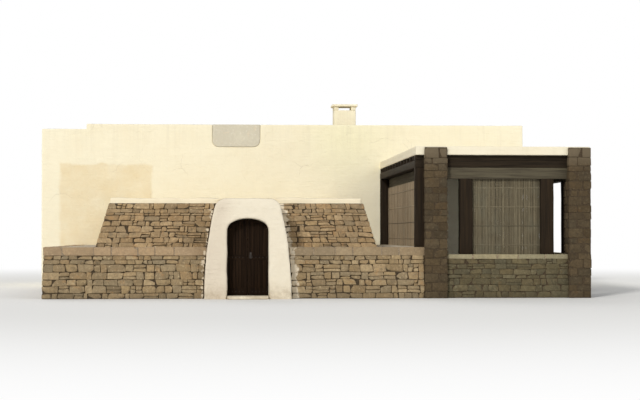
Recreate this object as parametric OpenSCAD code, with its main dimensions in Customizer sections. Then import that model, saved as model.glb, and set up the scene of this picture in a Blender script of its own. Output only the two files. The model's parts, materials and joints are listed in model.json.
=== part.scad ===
// Stepped dry-stone trullo with a whitewashed arched portal, a limewashed flat-roofed house
// behind it and a roofed porch at its right-hand front corner.
// X runs right, Y runs into the building, Z up. The origin is at ground level in the middle of
// the front doorway, on the foot of the trullo's front face.

/* [Doorway] */
// Clear width of the front doorway
door_w = 1040; // [900:10:1160]
// Height of the doorway's crown above the ground
door_h = 2040; // [1950:10:2100]
// Rise of the arch above its springing
arch_rise = 300; // [260:10:380]
// Radius of the arch's rounded shoulders
shoulder_r = 230; // [150:10:245]
// Height of the stone threshold
threshold_h = 80; // [40:5:120]
// How far the threshold runs out in front of the portal
threshold_nose = 150; // [50:10:200]
// How far the leaves and their frame lap behind the masonry at each side
door_lap = 40; // [30:5:60]
// Thickness of a door leaf
leaf_t = 50; // [40:1:60]
// Running clearance round the leaves
leaf_gap = 5; // [5:1:8]
// Gap between the two leaves where they meet
meeting_gap = 6; // [5:1:10]
// Width of the stiles round each leaf
stile_w = 95; // [70:5:130]
// Height of the bottom rail of each leaf
bottom_rail_h = 190; // [120:10:240]
// How far the stiles stand in front of the boards
board_relief = 12; // [8:1:20]
// Thickness of the timber frame behind the reveal
frame_t = 35; // [25:1:40]

/* [Door hardware] */
// Radius of the pintle pin
pin_r = 8; // [6:0.5:10]
// Radial clearance between pin and eye
pin_gap = 0.6; // [0.4:0.1:1]
// Wall of the strap's eye round its bore
eye_wall = 6; // [5:0.5:8]
// Thickness of the strap
strap_t = 6; // [4:0.5:8]
// Height of the strap
strap_h = 50; // [40:1:60]
// Length of the strap on the leaf
strap_len = 420; // [300:10:460]
// Height of the lower hinge above the ground
lower_hinge_z = 420; // [300:10:600]
// Height of the upper hinge above the ground
upper_hinge_z = 1480; // [1200:10:1600]
// How far the pintle reaches below its strap
pintle_foot = 18; // [12:1:30]
// Gap between the pintle's block and the eye that turns above it
eye_gap = 1; // [0.5:0.5:2]

/* [Portal] */
// Width of the whitewashed portal at the ground
portal_foot_w = 2240; // [2100:10:2400]
// Width of the portal at its top, where its bowed sides would meet the top without the corners
portal_top_w = 1600; // [1500:10:1700]
// Height of the portal above the doorway's crown
portal_crown = 520; // [460:10:620]
// How far the portal stands in front of the stone face
portal_proud = 350; // [200:10:500]
// Depth of the portal behind the stone face
portal_back = 1000; // [980:10:1200]
// Radius of the portal's upper corners
portal_corner_r = 300; // [200:10:340]
// Width of the passage through the wall
passage_w = 1300; // [1260:10:1400]
// Height of the leaves' swing space above the doorway's crown
swing_room = 160; // [140:10:220]
// Height of the passage behind the portal
passage_h = 1950; // [1850:10:2000]
// Bearing of the passage lintel on each wall
lintel_bearing = 250; // [150:10:350]

/* [Trullo] */
// Distance from the doorway's middle to the lower tier's left end
tier_left = 5200; // [4800:50:5600]
// Distance from the doorway's middle to the lower tier's right end
tier_right = 4880; // [4860:10:4950]
// Height of the lower tier
tier_h = 1300; // [1200:10:1400]
// Inward lean of the lower tier's faces over its height
tier_lean = 50; // [20:5:80]
// Depth of the trullo from its front face to the house
trullo_depth = 9000; // [8600:50:9600]
// Width of the front ledge between the tiers
ledge_w = 600; // [500:10:700]
// Distance from the doorway's middle to the upper tier's left foot
upper_left = 3900; // [3600:50:4200]
// Distance from the doorway's middle to the upper tier's right foot
upper_right = 3360; // [3200:20:3700]
// Height of the upper tier
upper_h = 1150; // [1100:10:1180]
// Inward lean of the upper tier's faces over its height
upper_lean = 330; // [250:10:360]
// Height of the pale coping course on the lower tier
ledge_coping_h = 200; // [120:10:240]
// Depth of the pale coping course
ledge_coping_d = 420; // [300:10:480]
// How far copings stand proud of the faces below
coping_lip = 25; // [10:5:40]
// Height of the lime coping round the trullo's terrace
terrace_coping_h = 150; // [100:10:200]
// Width of the lime coping round the trullo's terrace
terrace_coping_w = 380; // [300:10:500]
// Thickness of the terrace's lime screed
screed_t = 50; // [30:5:80]

/* [Chamber and corbelled dome] */
// Radius of the round chamber
chamber_r = 1750; // [1600:10:1850]
// Distance of the chamber's middle behind the front face
chamber_y = 3900; // [3700:50:4200]
// Height where the corbelling starts
dome_spring = 1000; // [900:10:1100]
// Thickness of the corbelled rings at the springing
ring_wall = 350; // [250:10:450]
// Radius of the capstone
capstone_r = 1000; // [900:10:1100]
// Thickness of the capstone
capstone_t = 160; // [120:10:200]
// How quickly the dome closes, 1 is a straight cone
dome_curve = 1.6; // [1.3:0.1:2]
// Share of each corbel's overhang taken by its sloping face
corbel_slope = 0.35; // [0.1:0.05:0.6]

/* [House] */
// Distance from the doorway's middle to the house's left face
house_left = 6230; // [6000:10:6600]
// Distance from the doorway's middle to the house's right face
house_right = 8860; // [8600:10:9400]
// Depth of the house
house_depth = 5000; // [4600:50:5600]
// Thickness of the house walls
wall_t = 400; // [350:10:500]
// Height of the parapet's top
parapet_z = 5080; // [4900:10:5300]
// Drop of the parapet over its left stretch
parapet_drop = 160; // [80:10:240]
// Length of the lower left stretch
low_stretch = 1380; // [1000:10:1800]
// Height of the roof terrace
roof_z = 4550; // [4400:10:4650]
// Thickness of the roof
roof_t = 300; // [220:10:360]
// Thickness of the house floor
floor_t = 150; // [100:10:180]
// Width of the two fixed doors
back_door_w = 1000; // [900:10:1100]
// Crown height of the two fixed doors
back_door_h = 2150; // [2050:10:2250]
// Place of the porch door's middle to the right of the front doorway's
porch_door_x = 7500; // [6400:50:7600]
// Thickness of the fixed doors
back_door_t = 60; // [40:5:80]

/* [Stone panel and chimney] */
// Width of the tan stone panel in the parapet
panel_w = 1480; // [1200:10:1700]
// Height of the stone panel
panel_h = 700; // [500:10:800]
// Place of the panel's middle to the right of the doorway's
panel_x = -200; // [-500:10:200]
// Radius of the panel's lower corners
panel_r = 200; // [100:10:250]
// Depth of the panel in the wall
panel_depth = 80; // [60:5:120]
// How far the panel stands proud of the wall
panel_proud = 20; // [10:5:40]
// Width of the chimney
chimney_w = 700; // [600:10:800]
// Depth of the chimney
chimney_d = 600; // [500:10:700]
// Place of the chimney's middle to the right of the doorway's
chimney_x = 3300; // [2800:50:3800]
// Distance of the chimney's middle behind the house front
chimney_back = 1400; // [1000:50:2000]
// Height of the chimney stack above the roof
chimney_h = 1080; // [900:10:1300]
// Side of the flue
flue = 300; // [200:10:360]
// Height of the cap's four feet
cap_gap = 120; // [80:10:160]
// Thickness of the cap slab
cap_t = 70; // [50:5:100]
// Overhang of the cap slab
cap_lip = 60; // [40:5:100]
// Width of a rain spout
spout_w = 200; // [160:10:260]
// Length of a rain spout in front of its wall
spout_len = 350; // [250:10:450]
// Number of rain spouts on the rear wall
spout_count = 3; // [2:1:5]

/* [Porch] */
// Distance from the doorway's middle to the porch's left side
porch_left = 4560; // [4540:10:4600]
// Side of the square corner piers
pier = 560; // [500:10:600]
// How far the piers stand in front of the trullo's face
pier_proud = 80; // [40:10:120]
// Height of the piers
pier_h = 3880; // [3850:10:3900]
// Height of the porch parapet with its coping
porch_wall_h = 1120; // [1050:10:1200]
// Thickness of the porch parapet
porch_wall_t = 400; // [350:10:440]
// How far the parapet stands behind the trullo's face
porch_wall_y = 60; // [20:10:100]
// Thickness of the parapet's coping
porch_coping_h = 110; // [80:10:140]
// Width of the way in at the porch's right side
way_in = 1300; // [1100:50:1500]
// Side of the timber posts
post = 240; // [200:10:260]
// Width of the two front posts
front_post_w = 340; // [240:10:400]
// Distance from a pier to the front post beside it
front_post_gap = 360; // [300:10:450]
// How far the roof runs out to the left of the pier, over the two outer posts
side_overhang = 240; // [180:10:300]
// Number of bays between the side posts
side_bays = 3; // [2:1:4]
// Underside of the pale plate beams
plate_z = 3080; // [3000:10:3120]
// Height of the plate beams
plate_h = 290; // [240:10:300]
// Height of the dark roof beams
beam_h = 190; // [160:10:200]
// Height of the roof joists
joist_h = 130; // [110:5:150]
// Width of the roof joists
joist_w = 110; // [90:5:130]
// Number of roof joists
joist_count = 13; // [9:1:15]
// Thickness of the porch roof
porch_roof_t = 220; // [180:10:260]
// Thickness of the cane screens
screen_t = 22; // [16:1:30]

/* [Hidden] */
limewash = [0.96, 0.92, 0.81];
tan_stone = [0.56, 0.49, 0.38];
rubble = [0.53, 0.45, 0.35];
pale_stone = [0.72, 0.63, 0.52];
dark_timber = [0.17, 0.12, 0.07];
old_timber = [0.42, 0.38, 0.29];
iron = [0.2, 0.18, 0.17];
cane = [0.46, 0.4, 0.32];

arc_steps = 10;
over = 10;              // how far a cutting solid runs past the face that it opens
half_door = door_w / 2;
spring_z = door_h - arch_rise;
half_frame = half_door + door_lap;
half_passage = passage_w / 2;
portal_h = door_h + portal_crown;
swing_h = door_h + swing_room;
leaf_y = leaf_gap;      // the frame starts at the foot of the front face
leaf_back = leaf_y + leaf_t;
eye_r = pin_r + pin_gap + eye_wall;
hinge_x = half_frame + eye_r;
hinge_y = leaf_back + strap_t / 2;
hinge_heights = [lower_hinge_z, upper_hinge_z];

trullo_h = tier_h + upper_h;
upper_front = ledge_w + upper_lean;
ring_count = 5;
ring_out = chamber_r + ring_wall;
dome_top = trullo_h - capstone_t;
ring_h = (dome_top - dome_spring) / ring_count;

house_front = trullo_depth;
house_rear = house_front + house_depth;
house_w = house_left + house_right;
porch_right = house_right;
outer_x = porch_left - side_overhang;
beam_z = plate_z + plate_h;
joist_z = beam_z + beam_h;
porch_roof_z = joist_z + joist_h;
left_post_x = porch_left + screen_t;
right_post_x = porch_right - porch_wall_t / 2 - post / 2;
front_post_y = porch_wall_y + (porch_wall_t - post) / 2;
pier_back = pier - pier_proud;
first_side_post = pier_back + way_in;
last_side_post = trullo_depth - post;
side_posts = [for (i = [0 : side_bays])
    first_side_post + i * (last_side_post - first_side_post) / side_bays];
chimney_y = house_front + chimney_back;

// A box from its low corner to its high corner
module block(low, high) {
    translate(low) cube(high - low);
}

// An outline drawn in X and Z, standing between two values of Y
module upright(y0, y1) {
    translate([0, y1, 0]) rotate([90, 0, 0]) linear_extrude(y1 - y0) children();
}

// Points of an arc about a centre
function arc(centre, r, from, to) =
    [for (i = [0 : arc_steps]) let (t = from + (to - from) * i / arc_steps)
        centre + r * [cos(t), sin(t)]];

// A doorway's outline with a three-centred arch. grow moves the whole outline outwards.
module arched(half, crown, foot, grow = 0) {
    inner = half - shoulder_r;
    drop = (inner * inner - pow(arch_rise - shoulder_r, 2)) / (2 * (arch_rise - shoulder_r));
    turn = atan(inner / drop);
    spring = crown - arch_rise;
    r = shoulder_r + grow;
    polygon(concat(
        [[-half - grow, foot], [half + grow, foot]],
        arc([inner, spring], r, 0, 90 - turn),
        arc([0, spring - drop], arch_rise + drop + grow, 90 - turn, 90 + turn),
        arc([-inner, spring], r, 90 + turn, 180)
    ));
}

// A block whose front, left and right faces lean inwards over its height
module leaning(left, right, front, back, z0, z1, lean) {
    intersection() {
        upright(front, back)
            polygon([[left, z0], [right, z0], [right - lean, z1], [left + lean, z1]]);
        translate([left, 0, 0]) rotate([90, 0, 90]) linear_extrude(right - left)
            polygon([[front, z0], [back, z0], [back, z1], [front + lean, z1]]);
    }
}

// The portal's outer shape: its sides bow inwards from the ground to its rounded upper corners
module portal_shape() {
    foot = portal_foot_w / 2;
    draw_in = (portal_foot_w - portal_top_w) / 2;
    side_r = (pow(portal_h, 2) + pow(draw_in, 2)) / (2 * draw_in);
    r = portal_corner_r;
    corner_z = portal_h - r;
    turn = asin(corner_z / (side_r - r));
    corner_x = foot - side_r + (side_r - r) * cos(turn);
    upright(-portal_proud, portal_back)
        polygon(concat(
            arc([foot - side_r, 0], side_r, 0, turn),
            arc([corner_x, corner_z], r, turn, 90),
            arc([-corner_x, corner_z], r, 90, 180 - turn),
            arc([side_r - foot, 0], side_r, 180 - turn, 180)
        ));
}

// Everything that is hollow behind the reveal: swing space, passage, chamber and dome
module passage_space() {
    block([-half_passage, 0, -over], [half_passage, portal_back, swing_h]);
    block([-half_passage, portal_back - over, -over], [half_passage, chamber_y, passage_h]);
}

module dome_seat() {
    translate([0, chamber_y, dome_spring]) cylinder(r = ring_out, h = upper_h + tier_h, $fn = 360);
}

module chamber_space() {
    translate([0, chamber_y, -over]) cylinder(r = chamber_r, h = dome_spring + 2 * over, $fn = 360);
}

module lintel_shape() {
    half = half_passage + lintel_bearing;
    block([-half, portal_back, passage_h], [half, chamber_y, trullo_h]);
}

module pier_shape(x) {
    block([x, -pier_proud, 0], [x + pier, pier_back, pier_h]);
}

module threshold() {
    color(limewash) {
        block([-half_door, -portal_proud - threshold_nose, 0], [half_door, over, threshold_h]);
        block([-half_passage, 0, 0], [half_passage, portal_back, threshold_h]);
    }
}

module portal() {
    difference() {
        portal_shape();
        upright(-portal_proud - over, over) arched(half_door, door_h, -over);
        passage_space();
    }
}

module portal_jamb(side) {
    color(limewash) intersection() {
        portal();
        scale([side, 1, 1])
            block([0, -portal_proud - over, 0], [portal_foot_w, portal_back + over, spring_z]);
    }
}

module portal_arch_head() {
    color(limewash) intersection() {
        portal();
        block([-portal_foot_w, -portal_proud - over, spring_z],
              [portal_foot_w, portal_back + over, portal_h + over]);
    }
}

module door_frame() {
    color(dark_timber) upright(0, frame_t) difference() {
        translate([-half_passage, threshold_h]) square([passage_w, swing_h - threshold_h]);
        arched(half_door, door_h, 0, door_lap);
    }
}

// One leaf with its own border of stiles standing proud of the boards
module door_leaf(side) {
    color(dark_timber) intersection() {
        difference() {
            upright(leaf_y, leaf_back) arched(half_door, door_h, 0, door_lap - leaf_gap);
            upright(leaf_y - over, leaf_y + board_relief) intersection() {
                arched(half_door, door_h, 0, door_lap - leaf_gap - stile_w);
                translate([side > 0 ? stile_w : -half_frame - stile_w, threshold_h + bottom_rail_h])
                    square([half_frame, door_h]);
            }
        }
        scale([side, 1, 1]) block([meeting_gap / 2, 0, threshold_h + 2 * leaf_gap],
                                  [half_frame, leaf_back + over, door_h + 2 * door_lap]);
    }
}

module strap_hinges(side) {
    color(iron) scale([side, 1, 1]) for (z = hinge_heights) translate([0, 0, z]) difference() {
        union() {
            translate([hinge_x, hinge_y, 0]) cylinder(r = eye_r, h = strap_h, $fn = 120);
            block([hinge_x - strap_len, leaf_back, 0], [hinge_x, leaf_back + strap_t, strap_h]);
        }
        translate([hinge_x, hinge_y, -over])
            cylinder(r = pin_r + pin_gap, h = strap_h + 2 * over, $fn = 120);
    }
}

module hinge_pintles() {
    color(iron) for (side = [-1, 1]) scale([side, 1, 1]) for (z = hinge_heights) {
        translate([hinge_x, hinge_y, z - pintle_foot])
            cylinder(r = pin_r, h = strap_h + pintle_foot + over / 2, $fn = 120);
        block([hinge_x - pin_r, frame_t, z - pintle_foot],
              [hinge_x + 2 * pin_r, hinge_y + pin_r, z - eye_gap]);
    }
}

module lower_mass() {
    difference() {
        leaning(-tier_left, tier_right, 0, trullo_depth, 0, tier_h, tier_lean);
        portal_shape();
        passage_space();
        chamber_space();
        dome_seat();
        pier_shape(porch_left);
        ledge_coping_shape();
        chamber_middle(-over);
    }
}

// The strip behind the chamber that one wall of its own fills
module chamber_middle(z0) {
    block([-half_passage, chamber_y, z0], [half_passage, trullo_depth + over, trullo_h + over]);
}

module ledge_coping_shape() {
    difference() {
        leaning(-tier_left - coping_lip + tier_lean, porch_left, -coping_lip + tier_lean,
                trullo_depth, tier_h - ledge_coping_h, tier_h, 0);
        block([-tier_left + ledge_coping_d, ledge_coping_d, 0],
              [porch_left + over, trullo_depth + over, tier_h + over]);
    }
}

module side_of(side) {
    intersection() {
        children();
        scale([side, 1, 1]) block([0, -over, -over],
                                  [2 * tier_left, trullo_depth + over, trullo_h + over]);
    }
}

module lower_wall(side) {
    color(rubble) side_of(side) lower_mass();
}

module upper_wall(side) {
    color(rubble) side_of(side) difference() {
        leaning(-upper_left, upper_right, ledge_w, trullo_depth, tier_h, trullo_h, upper_lean);
        portal_shape();
        passage_space();
        dome_seat();
        lintel_shape();
        chamber_middle(0);
    }
}

module chamber_back_wall() {
    color(rubble) difference() {
        block([-half_passage, chamber_y, 0], [half_passage, trullo_depth, trullo_h]);
        chamber_space();
        dome_seat();
    }
}

module passage_lintel() {
    color(tan_stone) difference() {
        lintel_shape();
        dome_seat();
    }
}

// Inner radius of the dome at the underside of ring i
function dome_r(i) = chamber_r * (1 - pow((i - 1) / (ring_count + 1.5), dome_curve));

// One bed of corbels: its inner face slopes, then the next bed overhangs it
module corbel_ring(i) {
    z0 = dome_spring + (i - 1) * ring_h;
    foot = dome_r(i);
    lip = foot - corbel_slope * (foot - dome_r(i + 1));
    top_bed = i == ring_count;
    color(tan_stone) difference() {
        translate([0, chamber_y, z0]) rotate_extrude($fn = 360)
            polygon(concat(
                [[ring_out, 0], [ring_out, ring_h + (top_bed ? capstone_t : 0)]],
                top_bed ? [[capstone_r, ring_h + capstone_t], [capstone_r, ring_h]] : [],
                [[lip, ring_h], [foot, 0]]
            ));
        passage_space();
    }
}

module dome_capstone() {
    color(tan_stone) translate([0, chamber_y, dome_top])
        cylinder(r = capstone_r, h = capstone_t, $fn = 360);
}

module terrace_coping() {
    left = -upper_left + upper_lean;
    right = upper_right - upper_lean;
    front = upper_front;
    color(limewash) difference() {
        block([left, front, trullo_h], [right, trullo_depth, trullo_h + terrace_coping_h]);
        block([left + terrace_coping_w, front + terrace_coping_w, trullo_h - over],
              [right - terrace_coping_w, trullo_depth + over, trullo_h + terrace_coping_h + over]);
        portal_shape();
    }
}

module terrace_screed() {
    left = -upper_left + upper_lean + terrace_coping_w;
    right = upper_right - upper_lean - terrace_coping_w;
    color(limewash) block([left, upper_front + terrace_coping_w, trullo_h],
                          [right, trullo_depth, trullo_h + screed_t]);
}

module low_wall_copings() {
    color(pale_stone) {
        difference() {
            ledge_coping_shape();
            portal_shape();
        }
        porch_wall(porch_wall_h - porch_coping_h, porch_wall_h, coping_lip / 2);
    }
}

module chamber_floor() {
    color(pale_stone) difference() {
        union() {
            translate([0, chamber_y, 0]) cylinder(r = chamber_r, h = threshold_h, $fn = 360);
            block([-half_passage, portal_back, 0], [half_passage, chamber_y, threshold_h]);
        }
        block([-half_passage - over, 0, -over], [half_passage + over, portal_back, trullo_h]);
    }
}

// A parapet's height changes where the low stretch ends
function wall_top(x) = x < -house_left + low_stretch ? parapet_z - parapet_drop : parapet_z;

module wall_elevation(x0, x1) {
    step = -house_left + low_stretch;
    if (x0 < step && x1 > step)
        polygon([[x0, 0], [x1, 0], [x1, parapet_z], [step, parapet_z],
                 [step, parapet_z - parapet_drop], [x0, parapet_z - parapet_drop]]);
    else translate([x0, 0]) square([x1 - x0, wall_top(x0)]);
}

module panel_outline() {
    half = panel_w / 2;
    low = parapet_z - panel_h;
    translate([panel_x, 0]) polygon(concat(
        [[half, parapet_z], [-half, parapet_z]],
        arc([-half + panel_r, low + panel_r], panel_r, 180, 270),
        arc([half - panel_r, low + panel_r], panel_r, 270, 360)
    ));
}

module house_front_wall() {
    color(limewash) difference() {
        upright(house_front, house_front + wall_t) wall_elevation(-house_left, porch_left);
        upright(house_front - over, house_front + panel_depth) panel_outline();
    }
}

module stone_panel() {
    color(pale_stone) upright(house_front - panel_proud, house_front + panel_depth)
        panel_outline();
}

module back_doorway(x, grow = 0) {
    translate([x, 0]) arched(back_door_w / 2, back_door_h, floor_t, grow);
}

module porch_back_wall() {
    color(limewash) upright(house_front, house_front + wall_t) difference() {
        wall_elevation(porch_left, house_right);
        back_doorway(porch_door_x);
    }
}

module house_rear_wall() {
    color(limewash) difference() {
        upright(house_rear - wall_t, house_rear) difference() {
            wall_elevation(-house_left, house_right);
            back_doorway(0);
        }
        spout_bodies();
    }
}

module house_end_walls() {
    color(limewash) for (x = [-house_left, house_right - wall_t])
        block([x, house_front + wall_t, 0], [x + wall_t, house_rear - wall_t, wall_top(x)]);
}

module house_floor() {
    color(pale_stone) block([-house_left + wall_t, house_front + wall_t, 0],
                            [house_right - wall_t, house_rear - wall_t, floor_t]);
}

module house_roof() {
    color(limewash) block([-house_left + wall_t, house_front + wall_t, roof_z - roof_t],
                          [house_right - wall_t, house_rear - wall_t, roof_z]);
}

// Repeats a shape at each spout's place along the rear wall, at the roof's level
module at_spouts(y0, y1) {
    bay = house_w / spout_count;
    for (i = [1 : spout_count])
        translate([-house_left + (i - 0.5) * bay, 0, roof_z]) upright(y0, y1) children();
}

module spout_bodies() {
    at_spouts(house_rear - wall_t, house_rear + spout_len) square(spout_w, center = true);
}

module rain_spouts() {
    channel_r = spout_w / 4;
    color(pale_stone) difference() {
        spout_bodies();
        at_spouts(house_rear - wall_t - over, house_rear + spout_len + over) {
            translate([0, channel_r]) circle(channel_r, $fn = 120);
            translate([-channel_r, channel_r]) square([2 * channel_r, spout_w]);
        }
    }
}

module fixed_doors() {
    inset = wall_t / 2;
    color(dark_timber) {
        upright(house_front + inset, house_front + inset + back_door_t)
            back_doorway(porch_door_x);
        upright(house_rear - inset - back_door_t, house_rear - inset) back_doorway(0);
    }
}

module chimney_stack() {
    color(limewash) difference() {
        block([chimney_x - chimney_w / 2, chimney_y - chimney_d / 2, roof_z],
              [chimney_x + chimney_w / 2, chimney_y + chimney_d / 2, roof_z + chimney_h]);
        block([chimney_x - flue / 2, chimney_y - flue / 2, roof_z + chimney_h / 2],
              [chimney_x + flue / 2, chimney_y + flue / 2, roof_z + chimney_h + over]);
    }
}

module chimney_cap() {
    foot = (chimney_d - flue) / 2;
    top = roof_z + chimney_h;
    color(limewash) {
        for (sx = [-1, 1], sy = [-1, 1])
            translate([chimney_x + sx * (chimney_w - foot) / 2,
                       chimney_y + sy * (chimney_d - foot) / 2, top + cap_gap / 2])
                cube([foot, foot, cap_gap], center = true);
        block([chimney_x - chimney_w / 2 - cap_lip, chimney_y - chimney_d / 2 - cap_lip,
               top + cap_gap],
              [chimney_x + chimney_w / 2 + cap_lip, chimney_y + chimney_d / 2 + cap_lip,
               top + cap_gap + cap_t]);
    }
}

module porch_piers() {
    color(rubble) {
        pier_shape(porch_left);
        pier_shape(porch_right - pier);
    }
}

// The porch's low wall in plan: along the front, and down the right side beyond the way in
module porch_wall(z0, z1, lip) {
    y0 = porch_wall_y - lip;
    y1 = porch_wall_y + porch_wall_t + lip;
    block([porch_left + pier, y0, z0], [porch_right - pier, y1, z1]);
    block([porch_right - porch_wall_t, pier_back + way_in, z0],
          [porch_right + lip, trullo_depth, z1]);
}

module porch_parapet() {
    color(rubble) porch_wall(0, porch_wall_h - porch_coping_h, 0);
}

module front_posts() {
    for (x = [porch_left + pier + front_post_gap,
              porch_right - pier - front_post_gap - front_post_w])
        block([x, front_post_y, porch_wall_h], [x + front_post_w, front_post_y + post, plate_z]);
}

// Two posts on the trullo's ledge, beside the pier and against the house
module outer_posts() {
    for (y = [front_post_y, last_side_post])
        block([outer_x, y, tier_h], [porch_left, y + post, beam_z]);
}

module porch_posts() {
    color(dark_timber) {
        front_posts();
        outer_posts();
        for (y = side_posts) {
            block([left_post_x, y, tier_h], [left_post_x + post, y + post, plate_z]);
            block([right_post_x, y, porch_wall_h], [right_post_x + post, y + post, plate_z]);
        }
    }
}

// Beams round three sides of the porch, between the piers and back to the house
module beam_ring(z0, z1) {
    block([porch_left + pier, front_post_y, z0],
          [porch_right - pier, front_post_y + post, z1]);
    block([left_post_x, pier_back, z0], [left_post_x + post, trullo_depth, z1]);
    block([right_post_x, pier_back, z0], [right_post_x + post, trullo_depth, z1]);
}

module plate_beams() {
    color(old_timber) beam_ring(plate_z, beam_z);
}

module roof_beams() {
    color(dark_timber) {
        beam_ring(beam_z, joist_z);
        block([outer_x, front_post_y, beam_z], [porch_left, trullo_depth, joist_z]);
        for (x = [[outer_x, porch_left], [porch_left + pier, porch_right - pier]])
            block([x[0], front_post_y, joist_z], [x[1], front_post_y + post, porch_roof_z]);
    }
}

module roof_joists() {
    first = pier_back + joist_w;
    pitch = (trullo_depth - 2 * joist_w - first) / (joist_count - 1);
    color(dark_timber) for (i = [0 : joist_count - 1])
        block([outer_x, first + i * pitch, joist_z],
              [porch_right, first + i * pitch + joist_w, porch_roof_z]);
}

module porch_roof() {
    color(limewash) difference() {
        block([outer_x, 0, porch_roof_z],
              [porch_right, trullo_depth, porch_roof_z + porch_roof_t]);
        pier_shape(porch_left);
        pier_shape(porch_right - pier);
    }
}

module cane_screens() {
    front_y = front_post_y + (post - screen_t) / 2;
    near = porch_left + pier + front_post_gap + front_post_w;
    color(cane) {
        block([near, front_y, porch_wall_h],
              [porch_left + porch_right - near, front_y + screen_t, plate_z]);
        block([porch_left, pier_back, tier_h], [left_post_x, trullo_depth, plate_z]);
    }
}

threshold();
portal_jamb(-1);  // portal_left_jamb
portal_jamb(1);  // portal_right_jamb
portal_arch_head();
door_frame();
door_leaf(-1);  // door_leaf_left
door_leaf(1);  // door_leaf_right
strap_hinges(-1);  // strap_hinges_left
strap_hinges(1);  // strap_hinges_right
hinge_pintles();
lower_wall(-1);  // lower_wall_left
lower_wall(1);  // lower_wall_right
upper_wall(-1);  // upper_wall_left
upper_wall(1);  // upper_wall_right
chamber_back_wall();
passage_lintel();
corbel_ring(1);  // corbel_ring_1
corbel_ring(2);  // corbel_ring_2
corbel_ring(3);  // corbel_ring_3
corbel_ring(4);  // corbel_ring_4
corbel_ring(5);  // corbel_ring_5
dome_capstone();
terrace_screed();
terrace_coping();
low_wall_copings();
chamber_floor();
house_front_wall();
porch_back_wall();
house_end_walls();
house_rear_wall();
house_floor();
house_roof();
stone_panel();
rain_spouts();
chimney_stack();
chimney_cap();
fixed_doors();
porch_piers();
porch_parapet();
porch_posts();
plate_beams();
roof_beams();
roof_joists();
porch_roof();
cane_screens();
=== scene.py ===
import bpy
import bmesh
import json
import math
import random
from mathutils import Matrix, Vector, noise

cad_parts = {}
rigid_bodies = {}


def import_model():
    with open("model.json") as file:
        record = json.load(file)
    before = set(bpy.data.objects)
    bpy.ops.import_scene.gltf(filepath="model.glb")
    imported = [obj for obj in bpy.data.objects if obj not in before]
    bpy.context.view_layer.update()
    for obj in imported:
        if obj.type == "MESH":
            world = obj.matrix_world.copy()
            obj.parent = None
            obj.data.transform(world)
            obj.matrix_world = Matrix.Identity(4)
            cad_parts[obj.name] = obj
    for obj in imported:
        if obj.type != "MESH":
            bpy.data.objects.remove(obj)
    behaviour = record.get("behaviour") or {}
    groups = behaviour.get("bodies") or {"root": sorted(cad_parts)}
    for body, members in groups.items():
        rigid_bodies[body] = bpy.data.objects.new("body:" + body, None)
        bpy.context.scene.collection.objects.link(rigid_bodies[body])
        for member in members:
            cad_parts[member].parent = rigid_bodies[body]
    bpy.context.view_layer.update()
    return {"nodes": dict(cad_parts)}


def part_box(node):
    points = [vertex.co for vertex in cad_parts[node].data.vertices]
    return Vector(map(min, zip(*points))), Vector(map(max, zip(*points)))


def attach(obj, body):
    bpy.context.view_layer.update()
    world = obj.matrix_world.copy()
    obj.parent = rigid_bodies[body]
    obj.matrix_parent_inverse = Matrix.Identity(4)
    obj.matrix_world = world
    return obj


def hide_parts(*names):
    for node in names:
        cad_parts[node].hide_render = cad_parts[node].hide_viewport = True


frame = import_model()
cad = frame["nodes"]
print("frame loaded:", len(cad), "nodes")


# Places that several pieces share, from the frame

lowerLow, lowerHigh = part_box("lower_wall_left")[0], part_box("lower_wall_right")[1]
upperLow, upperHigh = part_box("upper_wall_left")[0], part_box("upper_wall_right")[1]
pierLow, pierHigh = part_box("porch_piers")
parapetLow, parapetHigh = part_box("porch_parapet")
joistLow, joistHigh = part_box("roof_joists")
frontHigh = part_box("house_front_wall")[1]
rearLow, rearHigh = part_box("house_rear_wall")
roofLow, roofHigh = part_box("house_roof")
spoutLow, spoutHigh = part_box("rain_spouts")
pierSide = pierHigh.y - pierLow.y
portal = {"foot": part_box("portal_right_jamb")[1].x, "top": 0.80, "height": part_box("portal_arch_head")[1].z,
          "corner": 0.30}              # half widths, height and corner radius
portalDraw = portal["foot"] - portal["top"]
portalBow = (portal["height"] ** 2 + portalDraw ** 2) / (2 * portalDraw)  # radius of its bowed sides


# Node helpers: each adds one step of a material and hands back its output

def plugIn(tree, value, socket):
    if isinstance(value, bpy.types.NodeSocket):
        tree.links.new(value, socket)
    elif isinstance(value, tuple) and len(value) == 3 and socket.type == "RGBA":
        socket.default_value = (*value, 1.0)
    else:
        socket.default_value = value


def addNode(tree, kind, sockets, **settings):
    node = tree.nodes.new("ShaderNode" + kind)
    for setting, value in settings.items():
        setattr(node, setting, value)
    for socket, value in sockets.items():
        plugIn(tree, value, node.inputs[socket])
    return node


def objectSpace(tree, scale=(1.0, 1.0, 1.0), turn=(0.0, 0.0, 0.0), shift=(0.0, 0.0, 0.0)):
    place = addNode(tree, "TexCoord", {}).outputs["Object"]
    return addNode(tree, "Mapping", {"Vector": place, "Scale": scale, "Rotation": turn,
                                     "Location": shift}).outputs["Vector"]


def clouds(tree, vector, scale, detail=4.0, roughness=0.55, distortion=0.0):
    return addNode(tree, "TexNoise", {"Vector": vector, "Scale": scale, "Detail": detail,
                                      "Roughness": roughness, "Distortion": distortion}).outputs["Fac"]


def bent(tree, vector, scale, amount):  # the place pushed about by a noise, so that lines wander
    push = addNode(tree, "TexNoise", {"Vector": vector, "Scale": scale, "Detail": 4.0}).outputs["Color"]
    return addNode(tree, "VectorMath", {0: push, 1: (amount, amount, amount), 2: vector},
                   operation="MULTIPLY_ADD").outputs["Vector"]


def axisOf(tree, vector, axis):
    return addNode(tree, "SeparateXYZ", {0: vector}).outputs["XYZ".index(axis)]


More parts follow.
